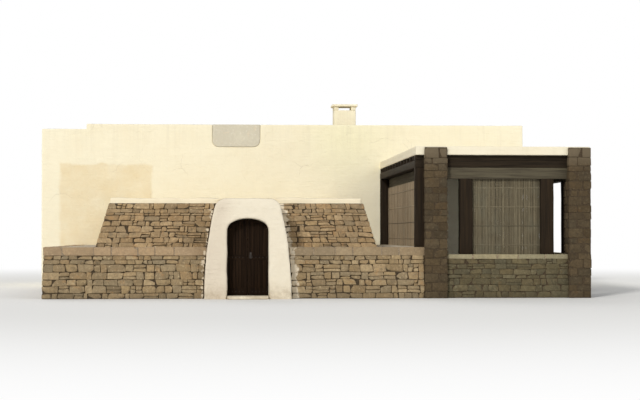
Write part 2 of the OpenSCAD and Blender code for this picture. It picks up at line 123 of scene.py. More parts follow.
def blockJoints(tree, vector, length, height, joint):  # 1 on the joints of sawn blocks in upright walls
    along = addNode(tree, "VectorMath", {0: vector, 1: (1.0, 1.0, 0.0)}, operation="DOT_PRODUCT")
    flat = addNode(tree, "CombineXYZ", {"X": along.outputs["Value"], "Y": axisOf(tree, vector, "Z")})
    return addNode(tree, "TexBrick", {"Vector": flat.outputs["Vector"], "Scale": 1.0, "Mortar Size": joint,
                                      "Mortar Smooth": 0.7, "Brick Width": length,
                                      "Row Height": height}).outputs["Fac"]


def cells(tree, vector, scale, feature="F1"):
    node = addNode(tree, "TexVoronoi", {"Vector": vector, "Scale": scale}, feature=feature)
    return node.outputs["Distance"]


def ramp(tree, factor, *stops):  # each stop is a position with a colour or a grey
    node = addNode(tree, "ValToRGB", {"Fac": factor})
    elements = node.color_ramp.elements
    elements[0].position = stops[0][0]
    elements[1].position = stops[-1][0]
    for position, colour in stops[1:-1]:
        elements.new(position)
    for element, (position, colour) in zip(elements, stops):
        element.color = (*colour, 1.0) if isinstance(colour, tuple) else (colour, colour, colour, 1.0)
    return node.outputs["Color"]


def maths(tree, operation, first, second=0.0, clamp=True):
    return addNode(tree, "Math", {0: first, 1: second}, operation=operation, use_clamp=clamp).outputs[0]


def inverse(tree, value):
    return maths(tree, "SUBTRACT", 1.0, value)


def fade(tree, value, start, end):  # 0 at start, 1 at end, smooth between
    return addNode(tree, "MapRange", {"Value": value, "From Min": start, "From Max": end},
                   interpolation_type="SMOOTHSTEP").outputs["Result"]


def overlap(tree, *masks):
    cover = masks[0]
    for mask in masks[1:]:
        cover = maths(tree, "MULTIPLY", cover, mask)
    return cover


def paint(tree, shown, colour, *masks):  # a colour laid on where all the masks are above 0
    return addNode(tree, "Mix", {0: overlap(tree, *masks), 6: shown, 7: colour}, data_type="RGBA").outputs[2]


def layOn(tree, shown, *coats):  # each coat is a pattern, the two stops of its ramp, and a colour
    for pattern, start, end, colour in coats:
        shown = paint(tree, shown, colour, ramp(tree, pattern, start, end))
    return shown


def facingUp(tree, start, end):  # rises from 0 to 1 as the surface turns from upright to level
    return fade(tree, axisOf(tree, addNode(tree, "NewGeometry", {}).outputs["Normal"], "Z"), start, end)


def toneOf(tree):  # what each stone, cane or board was given of its own
    return addNode(tree, "Attribute", {}, attribute_name="tone").outputs["Fac"]


def startMaterial(name, roughness, gloss=0.3, metallic=0.0):
    material = bpy.data.materials.new(name)
    material.use_nodes = True
    sockets = material.node_tree.nodes["Principled BSDF"].inputs
    sockets["Roughness"].default_value = roughness
    sockets["Specular IOR Level"].default_value = gloss
    sockets["Metallic"].default_value = metallic
    return material, material.node_tree


def finishMaterial(material, colour, reliefs, roughness=None):  # each relief is a height and its depth
    tree = material.node_tree
    sockets = tree.nodes["Principled BSDF"].inputs
    for height, depth in reliefs:
        bump = addNode(tree, "Bump", {"Height": height, "Distance": depth})
        if sockets["Normal"].is_linked:
            tree.links.new(sockets["Normal"].links[0].from_socket, bump.inputs["Normal"])
        tree.links.new(bump.outputs["Normal"], sockets["Normal"])
    tree.links.new(colour, sockets["Base Color"])
    if roughness is not None:
        tree.links.new(roughness, sockets["Roughness"])
    return material


def shade(colour, factor):
    factor = factor if isinstance(factor, tuple) else (factor,) * 3
    return tuple(min(c * f, 1.0) for c, f in zip(colour, factor))


# Materials

limewashLook = {
    "coat": (0.945, 0.875, 0.668),
    "oldCoat": (0.94, 0.90, 0.84),     # what is left of the coat's colour where it is old
    "growth": (0.34, 0.315, 0.255),    # what grows on the level tops
    "paintedShade": (0.84, 0.80, 0.79),       # what the painted shade on the portal's left side leaves of the coat's colour
    "dirt": (0.40, 0.31, 0.20),
    "streak": (0.60, 0.53, 0.40),
    "spoutRun": (0.36, 0.33, 0.26),
    "crack": (0.48, 0.39, 0.28),
    "tufa": (0.70, 0.56, 0.36),        # the bare block where the lime has flaked off
    "splashHeight": 0.5,
    "streakLength": 1.7,
    "patch": (-5.67, -2.82, 3.83),     # left, right and top of the older coat on the house front
    "patchColour": (0.84, 0.70, 0.445),
    "sunSpot": (3.3, 4.7, 2.0),        # middle and reach of the yellower lime on the house front
    "sunColour": (0.95, 0.90, 0.60),
    "block": (0.5, 0.255, 0.012),      # length, height and joint of the blocks under the lime
}


def makeLimewash(name, topZ=None, patch=False, splash=True, tint=None, stain=0.3, spouts=None, lumps=1.0,
                 leftShade=None):
    look = limewashLook
    material, tree = startMaterial(name, 0.92, 0.15)
    here = objectSpace(tree)
    wander = bent(tree, here, 2.6, 0.22)
    height = axisOf(tree, here, "Z")

    def wandering(axis, start=0.0):  # a ragged distance from start; half of the push is taken off again
        return maths(tree, "SUBTRACT", axisOf(tree, wander, axis), start + 0.11, False)

    coat = tint or look["coat"]
    old = shade(coat, look["oldCoat"])
    coats = clouds(tree, objectSpace(tree, (1.6, 1.6, 1.0)), 1.5, 7.0, 0.66, 0.8)
    strokes = clouds(tree, objectSpace(tree, (3.0, 3.0, 17.0), (0.0, 0.12, 0.0)), 1.0, 6.0, 0.62, 0.4)
    colour = layOn(tree, coat, (clouds(tree, here, 0.45, 5.0, 0.6), (0.45, 0.0), (0.75, 0.4), old),
                   (coats, (0.48, 0.0), (0.8, 0.35), old), (strokes, (0.4, 0.14), (0.62, 0.0), old))
    growth = clouds(tree, objectSpace(tree, shift=(6.0, 3.0, 2.0)), 1.3, 9.0, 0.72)
    colour = paint(tree, colour, look["growth"], facingUp(tree, 0.55, 0.95),
                   ramp(tree, growth, (0.36, 0.14), (0.68, 0.62)))
    if patch:
        left, right, top = look["patch"]
        edge = wandering("X")
        worn = ramp(tree, clouds(tree, here, 1.7, 6.0, 0.7), (0.3, 0.95), (0.75, 0.35))
        colour = paint(tree, colour, look["patchColour"], fade(tree, edge, left - 0.06, left + 0.06),
                       fade(tree, edge, right + 0.06, right - 0.06),
                       fade(tree, wandering("Z"), top + 0.05, top - 0.05), worn)
        middleX, middleZ, reach = look["sunSpot"]
        front = objectSpace(tree, (1.0, 0.0, 1.0))
        away = addNode(tree, "VectorMath", {0: front, 1: (middleX, 0.0, middleZ)}, operation="DISTANCE")
        colour = paint(tree, colour, look["sunColour"], fade(tree, away.outputs["Value"], reach, 0.0), 0.6)
    if topZ is not None:               # streaks of unequal length under the top
        ends = clouds(tree, objectSpace(tree, (3.1, 3.1, 0.0)), 1.0, 3.0)
        drop = maths(tree, "ADD", height, maths(tree, "MULTIPLY", ends, 1.6, False), False)
        wide = clouds(tree, objectSpace(tree, (2.6, 2.6, 0.16)), 1.0, 4.0, 0.6)
        fine = clouds(tree, objectSpace(tree, (11.0, 11.0, 0.35)), 1.0, 5.0, 0.7)
        colour = paint(tree, colour, look["streak"], ramp(tree, wide, (0.42, 0.1), (0.66, 1.0)),
                       ramp(tree, fine, (0.42, 0.0), (0.72, 1.0)),
                       fade(tree, drop, topZ + 0.8 - look["streakLength"], topZ + 0.9), stain)
    if spouts is not None:
        first, pitch, foot = spouts
        beside = maths(tree, "PINGPONG", wandering("X", first), pitch / 2, False)
        colour = paint(tree, colour, look["spoutRun"], fade(tree, beside, 0.3, 0.04),
                       fade(tree, height, 1.0, foot), fade(tree, height, foot + 0.1, foot), 0.55)
    if leftShade is not None:              # painted shade on the portal's left side, in patches, deepening from the first X to the second
        colour = paint(tree, colour, shade(coat, look["paintedShade"]), fade(tree, axisOf(tree, here, "X"), *leftShade),
                       ramp(tree, coats, (0.3, 1.0), (0.7, 0.6)))
    if splash:
        rising = inverse(tree, fade(tree, height, 0.0, look["splashHeight"]))
        blots = ramp(tree, clouds(tree, here, 5.0, 8.0, 0.74), (0.38, 0.1), (0.62, 1.0))
        colour = paint(tree, colour, look["dirt"], rising, blots, 0.7)
    flaked = ramp(tree, clouds(tree, wander, 1.9, 9.0, 0.76), (0.685, 0.0), (0.695, 1.0))
    colour = paint(tree, colour, look["tufa"], flaked, 0.8)
    line = cells(tree, bent(tree, here, 2.4, 0.4), 0.75, "DISTANCE_TO_EDGE")
    crack = overlap(tree, ramp(tree, line, (0.0, 1.0), (0.004, 0.0)),
                    ramp(tree, clouds(tree, here, 0.8, 3.0), (0.54, 0.0), (0.66, 1.0)))
    colour = paint(tree, colour, look["crack"], crack, 0.45)
    joints = overlap(tree, blockJoints(tree, bent(tree, here, 1.5, 0.05), *look["block"]),
                     facingUp(tree, 0.7, 0.3))
    broken = maths(tree, "MAXIMUM", crack, flaked)
    return finishMaterial(material, colour, (
        (clouds(tree, here, 2.4 * lumps, 3.0, 0.5), 0.03), (inverse(tree, joints), 0.0018),
        (strokes, 0.009 * lumps), (clouds(tree, here, 70.0, 4.0, 0.65), 0.002),
        (inverse(tree, broken), 0.005)))


limeSpill = {                          # limewash brushed past the portal's edge, more on the right
    "shift": 0.05, "reach": 0.1, "ragged": 0.5, "soft": 0.03, "colour": (0.80, 0.70, 0.54),
}
stoneShades = [0.62, (1.1, 1.06, 1.0), (0.88, 0.9, 0.93), 1.4, (1.04, 0.94, 0.82), (0.78, 0.83, 0.9),
               (1.22, 1.17, 1.06), (0.72, 0.67, 0.6)]  # how the stones of one wall differ


def spillMask(tree, here):  # 1 up to a ragged line a little outside the portal's bowed sides
    look = limeSpill
    drawIn = maths(tree, "POWER", axisOf(tree, here, "Z"), 2.0, False)
    drawIn = maths(tree, "MULTIPLY", drawIn, 1 / (2 * portalBow), False)
    across = maths(tree, "SUBTRACT", axisOf(tree, here, "X"), look["shift"], False)
    ragged = maths(tree, "MULTIPLY", clouds(tree, here, 6.0, 6.0, 0.65), look["ragged"], False)
    beside = maths(tree, "ADD", maths(tree, "ABSOLUTE", across, clamp=False), drawIn, False)
    beside = maths(tree, "ADD", beside, ragged, False)
    edge = portal["foot"] + look["ragged"] / 2 + look["reach"]
    return fade(tree, beside, edge + look["soft"], edge - look["soft"])


def makeStone(name, colour, lichen=0.5, bumps=1.0, foot=0.25, contrast=1.0, limed=False, litAbove=None):
    material, tree = startMaterial(name, 0.9, 0.2)
    here = objectSpace(tree)
    height = axisOf(tree, here, "Z")

    def near(factor):  # a shade of the stone, closer to its own colour where the contrast is low
        return tuple(c + (s - c) * contrast for c, s in zip(colour, shade(colour, factor)))

    last = len(stoneShades) - 1
    shown = ramp(tree, toneOf(tree), *((i / last, near(s)) for i, s in enumerate(stoneShades)))
    weather = clouds(tree, objectSpace(tree, shift=(5.0, 2.0, 8.0)), 0.7, 4.0, 0.6)
    growth = clouds(tree, objectSpace(tree, shift=(3.1, 7.7, 1.3)), 6.5, 8.0, 0.72)
    rust = clouds(tree, objectSpace(tree, shift=(9.0, 2.0, 5.0)), 4.2, 7.0, 0.7)
    pale = clouds(tree, here, 19.0, 7.0, 0.7, 0.4)
    shown = layOn(tree, shown, (weather, (0.36, 0.34), (0.52, 0.0), near(0.6)),
                  (weather, (0.52, 0.0), (0.7, 0.3), near(1.45)),
                  (clouds(tree, here, 11.0, 8.0, 0.7), (0.35, 0.6), (0.62, 0.0), near(0.5)),
                  (pale, (0.54, 0.0), (0.72, 0.6), near((1.75, 1.85, 2.0))),
                  (growth, (0.56, 0.0), (0.64, lichen), near((0.34, 0.4, 0.5))))
    crust = cells(tree, bent(tree, here, 14.0, 0.06), 7.0)
    shown = paint(tree, shown, near((1.7, 1.85, 1.95)), ramp(tree, crust, (0.16, 1.0), (0.24, 0.0)),
                  ramp(tree, clouds(tree, here, 1.6, 3.0), (0.5, 0.0), (0.62, lichen)))
    shown = layOn(tree, shown, (rust, (0.58, 0.0), (0.7, 0.5), near((1.2, 0.88, 0.6))))
    shown = paint(tree, shown, near(0.5), inverse(tree, fade(tree, height, 0.0, foot)), 0.45)
    if litAbove is not None:           # painted light: paler above this height, where the pier's top stands out of the tree's shade
        shown = paint(tree, shown, near((1.75, 1.9, 2.2)), fade(tree, height, litAbove, litAbove + 0.6), 0.75)
    if limed:
        shown = paint(tree, shown, limeSpill["colour"], spillMask(tree, here), 0.9)
    pits = ramp(tree, cells(tree, objectSpace(tree, (1.0, 1.0, 1.4)), 55.0), (0.12, 0.0), (0.42, 1.0))
    return finishMaterial(material, shown, (
        (clouds(tree, here, 15.0, 7.0, 0.68), 0.02 * bumps), (pits, 0.003 * bumps),
        (clouds(tree, here, 120.0, 3.0, 0.7), 0.0015 * bumps)))


def makeHearting(name, colour):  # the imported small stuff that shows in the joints
    material, tree = startMaterial(name, 0.95, 0.1)
    here = objectSpace(tree)
    grain, chips = clouds(tree, here, 28.0, 8.0, 0.75), cells(tree, here, 34.0)
    shown = layOn(tree, colour, (grain, (0.4, 0.0), (0.75, 0.8), shade(colour, 2.6)),
                  (chips, (0.1, 0.4), (0.3, 0.0), shade(colour, 3.4)))
    return finishMaterial(material, shown, ((chips, 0.012), (grain, 0.006)))


def makeTimber(name, axis, palette, roughness, gloss=0.25, rings=1.0):
    # the palette is two colours of the figure, the tone of a pale member, and the grain
    material, tree = startMaterial(name, roughness, gloss)
    scale = tuple(0.9 if letter == axis else 26.0 * rings for letter in "XYZ")
    coarse = tuple(0.35 if letter == axis else 7.0 for letter in "XYZ")
    stretched = tuple(s * (0.45 if s < 2 else 1.9) for s in scale)
    grain = clouds(tree, objectSpace(tree, scale), 1.0, 7.0, 0.62, 0.35)
    figure = clouds(tree, objectSpace(tree, coarse), 1.0, 4.0, 0.55, 1.2)
    shown = layOn(tree, palette[0], (figure, (0.3, 0.0), (0.7, 1.0), palette[1]),
                  (toneOf(tree), (0.0, 0.0), (1.0, 0.6), palette[2]),
                  (grain, (0.34, 0.8), (0.6, 0.0), palette[3]))
    split = ramp(tree, clouds(tree, objectSpace(tree, stretched), 1.0, 2.0, 0.4), (0.27, 1.0), (0.33, 0.0))
    shown = paint(tree, shown, shade(palette[3], 0.3), split, 0.8)
    return finishMaterial(material, shown, ((grain, 0.0035), (inverse(tree, split), 0.006), (figure, 0.004)))


def makeIron(name):
    material, tree = startMaterial(name, 0.6, 0.4, 0.75)
    here = objectSpace(tree)
    rust = clouds(tree, here, 38.0, 8.0, 0.7)
    colour = ramp(tree, rust, (0.35, (0.035, 0.031, 0.028)), (0.58, (0.05, 0.042, 0.036)),
                  (0.72, (0.14, 0.06, 0.028)))
    return finishMaterial(material, colour, ((cells(tree, here, 120.0), 0.0015), (rust, 0.001)),
                          ramp(tree, rust, (0.4, 0.45), (0.75, 0.85)))


def makeCane(name, colour):
    material, tree = startMaterial(name, 0.62, 0.25)
    streaks = clouds(tree, objectSpace(tree, (60.0, 60.0, 2.2)), 1.0, 5.0, 0.6)
    weather = clouds(tree, objectSpace(tree, (3.0, 3.0, 1.4)), 1.0, 4.0)
    shown = ramp(tree, toneOf(tree), (0.0, shade(colour, 0.5)), (0.35, shade(colour, 0.85)),
                 (0.7, shade(colour, (1.1, 1.12, 1.15))), (1.0, shade(colour, (1.45, 1.5, 1.55))))
    shown = layOn(tree, shown, (streaks, (0.38, 0.6), (0.62, 0.0), shade(colour, 0.38)),
                  (weather, (0.5, 0.0), (0.72, 0.5), shade(colour, (0.95, 1.1, 1.25))))
    return finishMaterial(material, shown, ((streaks, 0.0012),))


def makeScreed(name, colour):  # trodden lime with crushed tile, for the terrace and the roof
    material, tree = startMaterial(name, 0.88, 0.2)
    here = objectSpace(tree)
    pools, worn = clouds(tree, here, 0.55, 6.0, 0.62, 0.6), clouds(tree, here, 2.4, 8.0, 0.7)
    mould = clouds(tree, objectSpace(tree, shift=(4.0, 1.0, 0.0)), 3.0, 9.0, 0.75)
    shown = layOn(tree, colour, (pools, (0.42, 0.0), (0.68, 0.6), shade(colour, (0.66, 0.68, 0.7))),
                  (worn, (0.48, 0.0), (0.72, 0.6), shade(colour, (1.3, 1.32, 1.34))),
                  (mould, (0.57, 0.0), (0.7, 0.5), shade(colour, (0.36, 0.38, 0.4))))
    shown = paint(tree, shown, (0.42, 0.23, 0.14),  # crumbs of tile
                  ramp(tree, cells(tree, here, 48.0), (0.16, 1.0), (0.26, 0.0)),
                  ramp(tree, clouds(tree, here, 9.0, 2.0), (0.45, 0.0), (0.6, 0.7)))
    line = cells(tree, bent(tree, here, 1.9, 0.45), 0.42, "DISTANCE_TO_EDGE")
    line = overlap(tree, ramp(tree, line, (0.0, 1.0), (0.0035, 0.0)),
                   ramp(tree, pools, (0.44, 0.0), (0.56, 1.0)))
    shown = paint(tree, shown, shade(colour, 0.3), line, 0.6)
    return finishMaterial(material, shown, (
        (clouds(tree, here, 1.3, 3.0), 0.03), (worn, 0.008), (inverse(tree, line), 0.006),
        (clouds(tree, here, 60.0, 4.0, 0.7), 0.002)))


stoneColours = {
    # pier and porch are darkened partly with painted shade of the tree before the porch, over the stones' own
    # darker colour
    "upper": (0.385, 0.272, 0.15), "lower": (0.36, 0.267, 0.152), "pier": (0.096, 0.069, 0.038),
    "porch": (0.142, 0.118, 0.067), "coping": (0.40, 0.285, 0.172), "dullCoping": (0.335, 0.25, 0.152),
    "greyCoping": (0.33, 0.285, 0.175), "dome": (0.38, 0.30, 0.20), "paving": (0.55, 0.475, 0.365),
    "panel": (0.77, 0.71, 0.56),
}
darkWood = [(0.018, 0.011, 0.005), (0.028, 0.017, 0.008), (0.038, 0.028, 0.017), (0.008, 0.005, 0.0025)]
paleWood = [(0.085, 0.071, 0.043), (0.115, 0.098, 0.062), (0.072, 0.06, 0.04), (0.038, 0.029, 0.019)]
doorWood = [(0.0105, 0.0052, 0.0024), (0.018, 0.0095, 0.0045), (0.027, 0.015, 0.008), (0.003, 0.0015, 0.0008)]
spoutHalf = 0.1
spoutPitch = (spoutHigh.x - spoutLow.x - 2 * spoutHalf) / 2
# the portal's coat, with painted shade on its left side from X -0.2 to -0.75
limewash = makeLimewash("limewash", tint=(0.825, 0.75, 0.603), lumps=1.8, leftShade=(-0.2, -0.75))
limewashFront = makeLimewash("limewashFront", rearHigh.z, patch=True)
limewashSide = makeLimewash("limewashSide", rearHigh.z, stain=0.5)
limewashRear = makeLimewash("limewashRear", rearHigh.z, stain=0.5,
                            spouts=(spoutLow.x + spoutHalf, spoutPitch, roofHigh.z))
limewashHigh = makeLimewash("limewashHigh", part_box("chimney_stack")[1].z, splash=False, stain=0.5)
limewashRoofEdge = makeLimewash("limewashRoofEdge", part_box("porch_roof")[1].z, splash=False,
                                tint=(0.87, 0.80, 0.62))
limewashWorn = makeLimewash("limewashWorn", splash=False, tint=(0.86, 0.76, 0.56))
stoneUpper = makeStone("stoneUpper", stoneColours["upper"], limed=True)
stoneLower = makeStone("stoneLower", stoneColours["lower"], 0.45, limed=True)
# the pier's stone, with painted light on its top above 3.2 m
stonePier = makeStone("stonePier", stoneColours["pier"], 0.35, litAbove=3.2)
# the parapet's stone, darkened partly with painted shade of the tree
stonePorch = makeStone("stonePorch", stoneColours["porch"], 0.4)
stoneCoping = makeStone("stoneCoping", stoneColours["coping"], 0.35, 0.8, contrast=0.6, limed=True)
stoneDullCoping = makeStone("stoneDullCoping", stoneColours["dullCoping"], 0.4, 0.8, contrast=0.6, limed=True)
stoneGreyCoping = makeStone("stoneGreyCoping", stoneColours["greyCoping"], 0.4, 0.8, contrast=0.6)
stoneDome = makeStone("stoneDome", stoneColours["dome"], 0.15, foot=0.05)
stonePaving = makeStone("stonePaving", stoneColours["paving"], 0.4, 0.6, contrast=0.6)
stonePanel = makeStone("stonePanel", stoneColours["panel"], 0.3, 0.5, contrast=0.35)
hearting = makeHearting("hearting", (0.05, 0.036, 0.022))
paleHearting = makeHearting("paleHearting", (0.20, 0.155, 0.105))
screed = makeScreed("screed", (0.62, 0.53, 0.40))
iron = makeIron("iron")
sideCane = makeCane("sideCane", (0.30, 0.225, 0.14))
# the same canes as the side, darkened with painted shade of the tree before the porch
shadedFrontCane = makeCane("shadedFrontCane", (0.157, 0.127, 0.076))
darkTimber = {axis: makeTimber("darkTimber" + axis, axis, darkWood, 0.8, 0.15) for axis in "XYZ"}
paleTimber = {axis: makeTimber("paleTimber" + axis, axis, paleWood, 0.85) for axis in "XY"}
doorTimber = {axis: makeTimber("doorTimber" + axis, axis, doorWood, 0.75, 0.06, 1.6) for axis in "XZ"}
print("materials made:", len(bpy.data.materials))


# Mesh helpers

def bakeMesh(bm, name):
    mesh = bpy.data.meshes.new(name)
    bm.to_mesh(mesh)
    bm.free()
    return mesh


def makePiece(name, bm, material, body="building", sharpAngle=40, replaced=()):
    mesh = bakeMesh(bm, name)
    mesh.materials.append(material)
    for leftover in ("custom_normal", "sharp_face", "sharp_edge"):  # from a copied node
        if leftover in mesh.attributes:
            mesh.attributes.remove(mesh.attributes[leftover])
    mesh.shade_smooth()
    mesh.set_sharp_from_angle(angle=math.radians(sharpAngle))
    piece = bpy.data.objects.new(name, mesh)
    bpy.context.scene.collection.objects.link(piece)
    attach(piece, body)
    if replaced:
        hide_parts(*replaced)


def dressNodes(material, *nodes):  # nodes that stay as they are get a better finish
    for node in nodes:
        cad[node].data.materials.clear()
        cad[node].data.materials.append(material)


def everything(bm):
    return bm.verts[:] + bm.edges[:] + bm.faces[:]


def softenEdges(bm, edges, offset, segments):
    bmesh.ops.bevel(bm, geom=edges, offset=offset, segments=segments, profile=0.5, affect="EDGES",
                    clamp_overlap=True, material=-1)


def mergeDoubles(bm, distance=0.0002):
    bmesh.ops.remove_doubles(bm, verts=bm.verts[:], dist=distance)


def toneLayer(bm):
    return bm.verts.layers.float.get("tone") or bm.verts.layers.float.new("tone")


def startTones():  # an empty mesh whose members each keep a tone
    bm = bmesh.new()
    toneLayer(bm)
    return bm


def addMesh(bm, mesh, tone):  # joins a copy of a mesh on and hands back its vertices
    start = len(bm.verts)
    bm.from_mesh(mesh)
    bm.verts.ensure_lookup_table()
    layer = toneLayer(bm)
    added = bm.verts[start:]
    for v in added:
        v[layer] = tone
    return added


def addPart(bm, part, tone):
    mesh = bakeMesh(part, "part")
    addMesh(bm, mesh, tone)
    bpy.data.meshes.remove(mesh)


def placeCube(part, low, high):  # a unit cube stretched between two corners
    size = Vector(high) - Vector(low)
    bmesh.ops.scale(part, vec=size, verts=part.verts[:])
    bmesh.ops.translate(part, vec=(Vector(low) + Vector(high)) / 2, verts=part.verts[:])
    return size


def rockShape(rng, chips, chamfer, deepest=0.7):  # a unit block with broken corners and worn edges
    bm = bmesh.new()
    bmesh.ops.create_cube(bm, size=1.0)
    for i in range(chips):
        corner = Vector([rng.choice((-0.5, 0.5)) for axis in range(3)])
        slope = Vector([c * rng.uniform(0.25, 1.8) for c in corner]).normalized()
        bmesh.ops.bisect_plane(bm, geom=everything(bm), plane_co=corner * rng.uniform(deepest, 0.92),
                               plane_no=slope, clear_outer=True)
        bmesh.ops.holes_fill(bm, edges=bm.edges[:])
    softenEdges(bm, bm.edges[:], chamfer, 1)
    mergeDoubles(bm, 0.002)
    return bakeMesh(bm, "rockShape")


noise.seed_set(17)                     # without it noise_vector follows the clock
shapeRng = random.Random(11)
rocks = [rockShape(shapeRng, shapeRng.randint(2, 5), shapeRng.uniform(0.06, 0.11)) for i in range(16)]
slabs = [rockShape(shapeRng, shapeRng.randint(0, 2), 0.045, 0.86) for i in range(8)]


def addBlock(bm, shapes, rng, low, high, skew):  # one stone between two corners
    mesh = rng.choice(shapes)
    low, high = Vector(low), Vector(high)
    centre, size = (low + high) / 2, high - low
    flip = [rng.choice((-1, 1)) for axis in range(3)]
    lean = [rng.uniform(-skew, skew) for axis in range(4)]
    for v in addMesh(bm, mesh, rng.random()):
        x, y, z = (c * f for c, f in zip(v.co, flip))
        v.co = centre + Vector((size.x * (x * (1 + lean[0] * z) + lean[1] * z * 0.4),
                                size.y * (y * (1 + lean[2] * z)),
                                size.z * (z * (1 + lean[3] * (x + y)))))


def splitLength(rng, start, end, mean, spread):
    count = max(1, round((end - start) / mean))
    shares = [rng.uniform(1 - spread, 1 + spread) for i in range(count)]
    step = (end - start) / sum(shares)
    cuts = [start]
    for share in shares:
        cuts.append(cuts[-1] + share * step)
    return list(zip(cuts[:-1], cuts[1:]))


def faceStones(bm, rng, look, axis, at, outward, start, end, z0, z1):
    # one course on a face square to axis, running from start to end on the other horizontal axis
    if end - start < look["gap"] * 2:
        return
    other = 1 - axis
    for a, b in splitLength(rng, start, end, look["stone"], 0.62):
        levels = [(z0, z1)]
        if rng.random() < look["split"] and z1 - z0 > 0.12:
            middle = z0 + (z1 - z0) * rng.uniform(0.38, 0.62)
            levels = [(z0, middle), (middle, z1)]
        for low, high in levels:
            gap = look["gap"] * rng.uniform(0.3, 1.0)
            outer = at + outward * rng.uniform(*look["proud"])
            inner = at - outward * look["depth"]
            corner0, corner1 = [0, 0, low + gap * 0.35], [0, 0, high - gap * 0.35]
            corner0[axis], corner1[axis] = min(inner, outer), max(inner, outer)
            corner0[other], corner1[other] = a + gap / 2, b - gap / 2
            addBlock(bm, rocks, rng, corner0, corner1, look["skew"])


def wobbleCourses(bm, amount, z0, z1):  # the beds wander a little, but not at the foot and the top
    for v in bm.verts:
        share = (v.co.z - z0) / (z1 - z0)
        hold = math.sin(math.pi * min(max(share, 0.0), 1.0))
        v.co.z += amount * hold * noise.noise(Vector((v.co.x * 0.9, v.co.y * 0.9, v.co.z * 1.3)))


def stonePiece(name, bm, material):
    for v in bm.verts:
        v.co.z = max(v.co.z, 0.0)
    bm.normal_update()                 # the stones were flipped and bent since they were copied in
    bmesh.ops.recalc_face_normals(bm, faces=bm.faces[:])
    makePiece(name, bm, material, sharpAngle=32)


def softCopy(name, node, material, slot, edge, cell, wobble, seams=()):
    # a copy of a plain node with rounded edges and a hand-laid surface
    bm = bmesh.new()
    bm.from_mesh(cad[node].data)
    mergeDoubles(bm)
    bmesh.ops.dissolve_limit(bm, angle_limit=math.radians(1.0), verts=bm.verts[:], edges=bm.edges[:])

    def onSeam(e):
        return any(all(abs(v.co[axis] - at) < 0.001 for v in e.verts) for axis, at in seams)

    crisp = [e for e in bm.edges if len(e.link_faces) == 2 and e.calc_face_angle() > 0.6 and not onSeam(e)]
    low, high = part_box(node)
    cuts = [{i * cell for i in range(math.ceil(low[axis] / cell), math.ceil(high[axis] / cell))}
            for axis in range(3)]      # one grid for every wall, so that they meet without a step
    for e in crisp:
        a, b = (v.co for v in e.verts)
        if (a - b).length > 1.5 * cell:
            for axis in range(3):
                if abs(a[axis] - b[axis]) < 0.001:
                    cuts[axis] |= {round(a[axis] - 2 * edge, 4), round(a[axis] + 2 * edge, 4)}
    softenEdges(bm, crisp, edge, 3)
    for axis in range(3):
        way = Vector([float(i == axis) for i in range(3)])
        for at in sorted(cuts[axis]):
            if low[axis] + edge < at < high[axis] - edge:
                bmesh.ops.bisect_plane(bm, geom=everything(bm), plane_co=way * at, plane_no=way)
    mergeDoubles(bm)
    for v in bm.verts:
        v.co += noise.noise_vector(v.co * 1.3) * wobble * 0.7 + noise.noise_vector(v.co * 4.1) * wobble * 0.3
        v.co.z = max(v.co.z, low[2])
    makePiece(name, bm, material, sharpAngle=50, replaced=(node,))


def moulded(name, nodes, voxel, material, wobble, soften=3, calm=None):
    # nodes melted into one skin of lime, with soft corners
    bm = bmesh.new()
    for node in nodes:
        bm.from_mesh(cad[node].data)
    mergeDoubles(bm)
    foot = min(v.co.z for v in bm.verts)
    for v in bm.verts:
        if v.co.z < foot + 0.001:
            v.co.z -= 5 * voxel        # cut off again once the edges are soft
    source = bpy.data.objects.new(name + "Source", bakeMesh(bm, name + "Source"))
    bpy.context.scene.collection.objects.link(source)
    remesh = source.modifiers.new("skin", "REMESH")
    remesh.mode = "VOXEL"
    remesh.voxel_size = voxel
    smooth = source.modifiers.new("soften", "SMOOTH")
    smooth.factor = 0.5
    smooth.iterations = soften
    graph = bpy.context.evaluated_depsgraph_get()
    skin = bpy.data.meshes.new_from_object(source.evaluated_get(graph))
    bpy.data.objects.remove(source)
    bm = bmesh.new()
    bm.from_mesh(skin)
    bmesh.ops.bisect_plane(bm, geom=everything(bm), plane_co=(0, 0, foot), plane_no=(0, 0, 1),
                           clear_inner=True)
    bmesh.ops.holes_fill(bm, edges=bm.edges[:])
    bm.normal_update()
    for v in bm.verts:
        push = noise.noise(v.co * 2.1) * wobble + noise.noise(v.co * 7.0) * wobble * 0.35
        push = v.normal * (push - wobble * 0.5) * (calm(v.co) if calm else 1.0)
        v.co += Vector((push.x, push.y, push.z if v.co.z > foot + 0.001 else 0.0))
    makePiece(name, bm, material, sharpAngle=80, replaced=nodes)


# Trullo walls: an upright ring of stones, tapered afterwards to the leaning faces

copings = {"stone": 0.62, "gap": 0.012, "proud": 0.012, "height": 0.2, "depth": 0.42, "bed": 0.004,
           "rise": 0.01, "seed": 8}
quoin = {"out": 0.018, "bed": 0.004, "skew": 0.05}
lowerTier = {
    "course": 0.15, "stone": 0.27, "split": 0.25, "gap": 0.02, "proud": (0.004, 0.045),
    "depth": 0.15, "skew": 0.2, "quoins": (0.40, 0.24), "lean": 0.05, "wander": 0.035, "seed": 3,
}
upperTier = {
    "course": 0.135, "stone": 0.25, "split": 0.22, "gap": 0.02, "proud": (0.004, 0.045),
    "depth": 0.14, "skew": 0.2, "quoins": (0.38, 0.22), "lean": 0.33, "wander": 0.04, "seed": 5,
}


def portalHalf(z):  # half its width: the sides rise upright and bow in, and end in round corners
    corner = portal["corner"]
    cornerZ = portal["height"] - corner
    half = portal["foot"] - portalBow + math.sqrt(portalBow ** 2 - min(z, cornerZ) ** 2)
    over = min(max(z - cornerZ, 0.0), corner)
    return half - corner + math.sqrt(corner ** 2 - over ** 2)


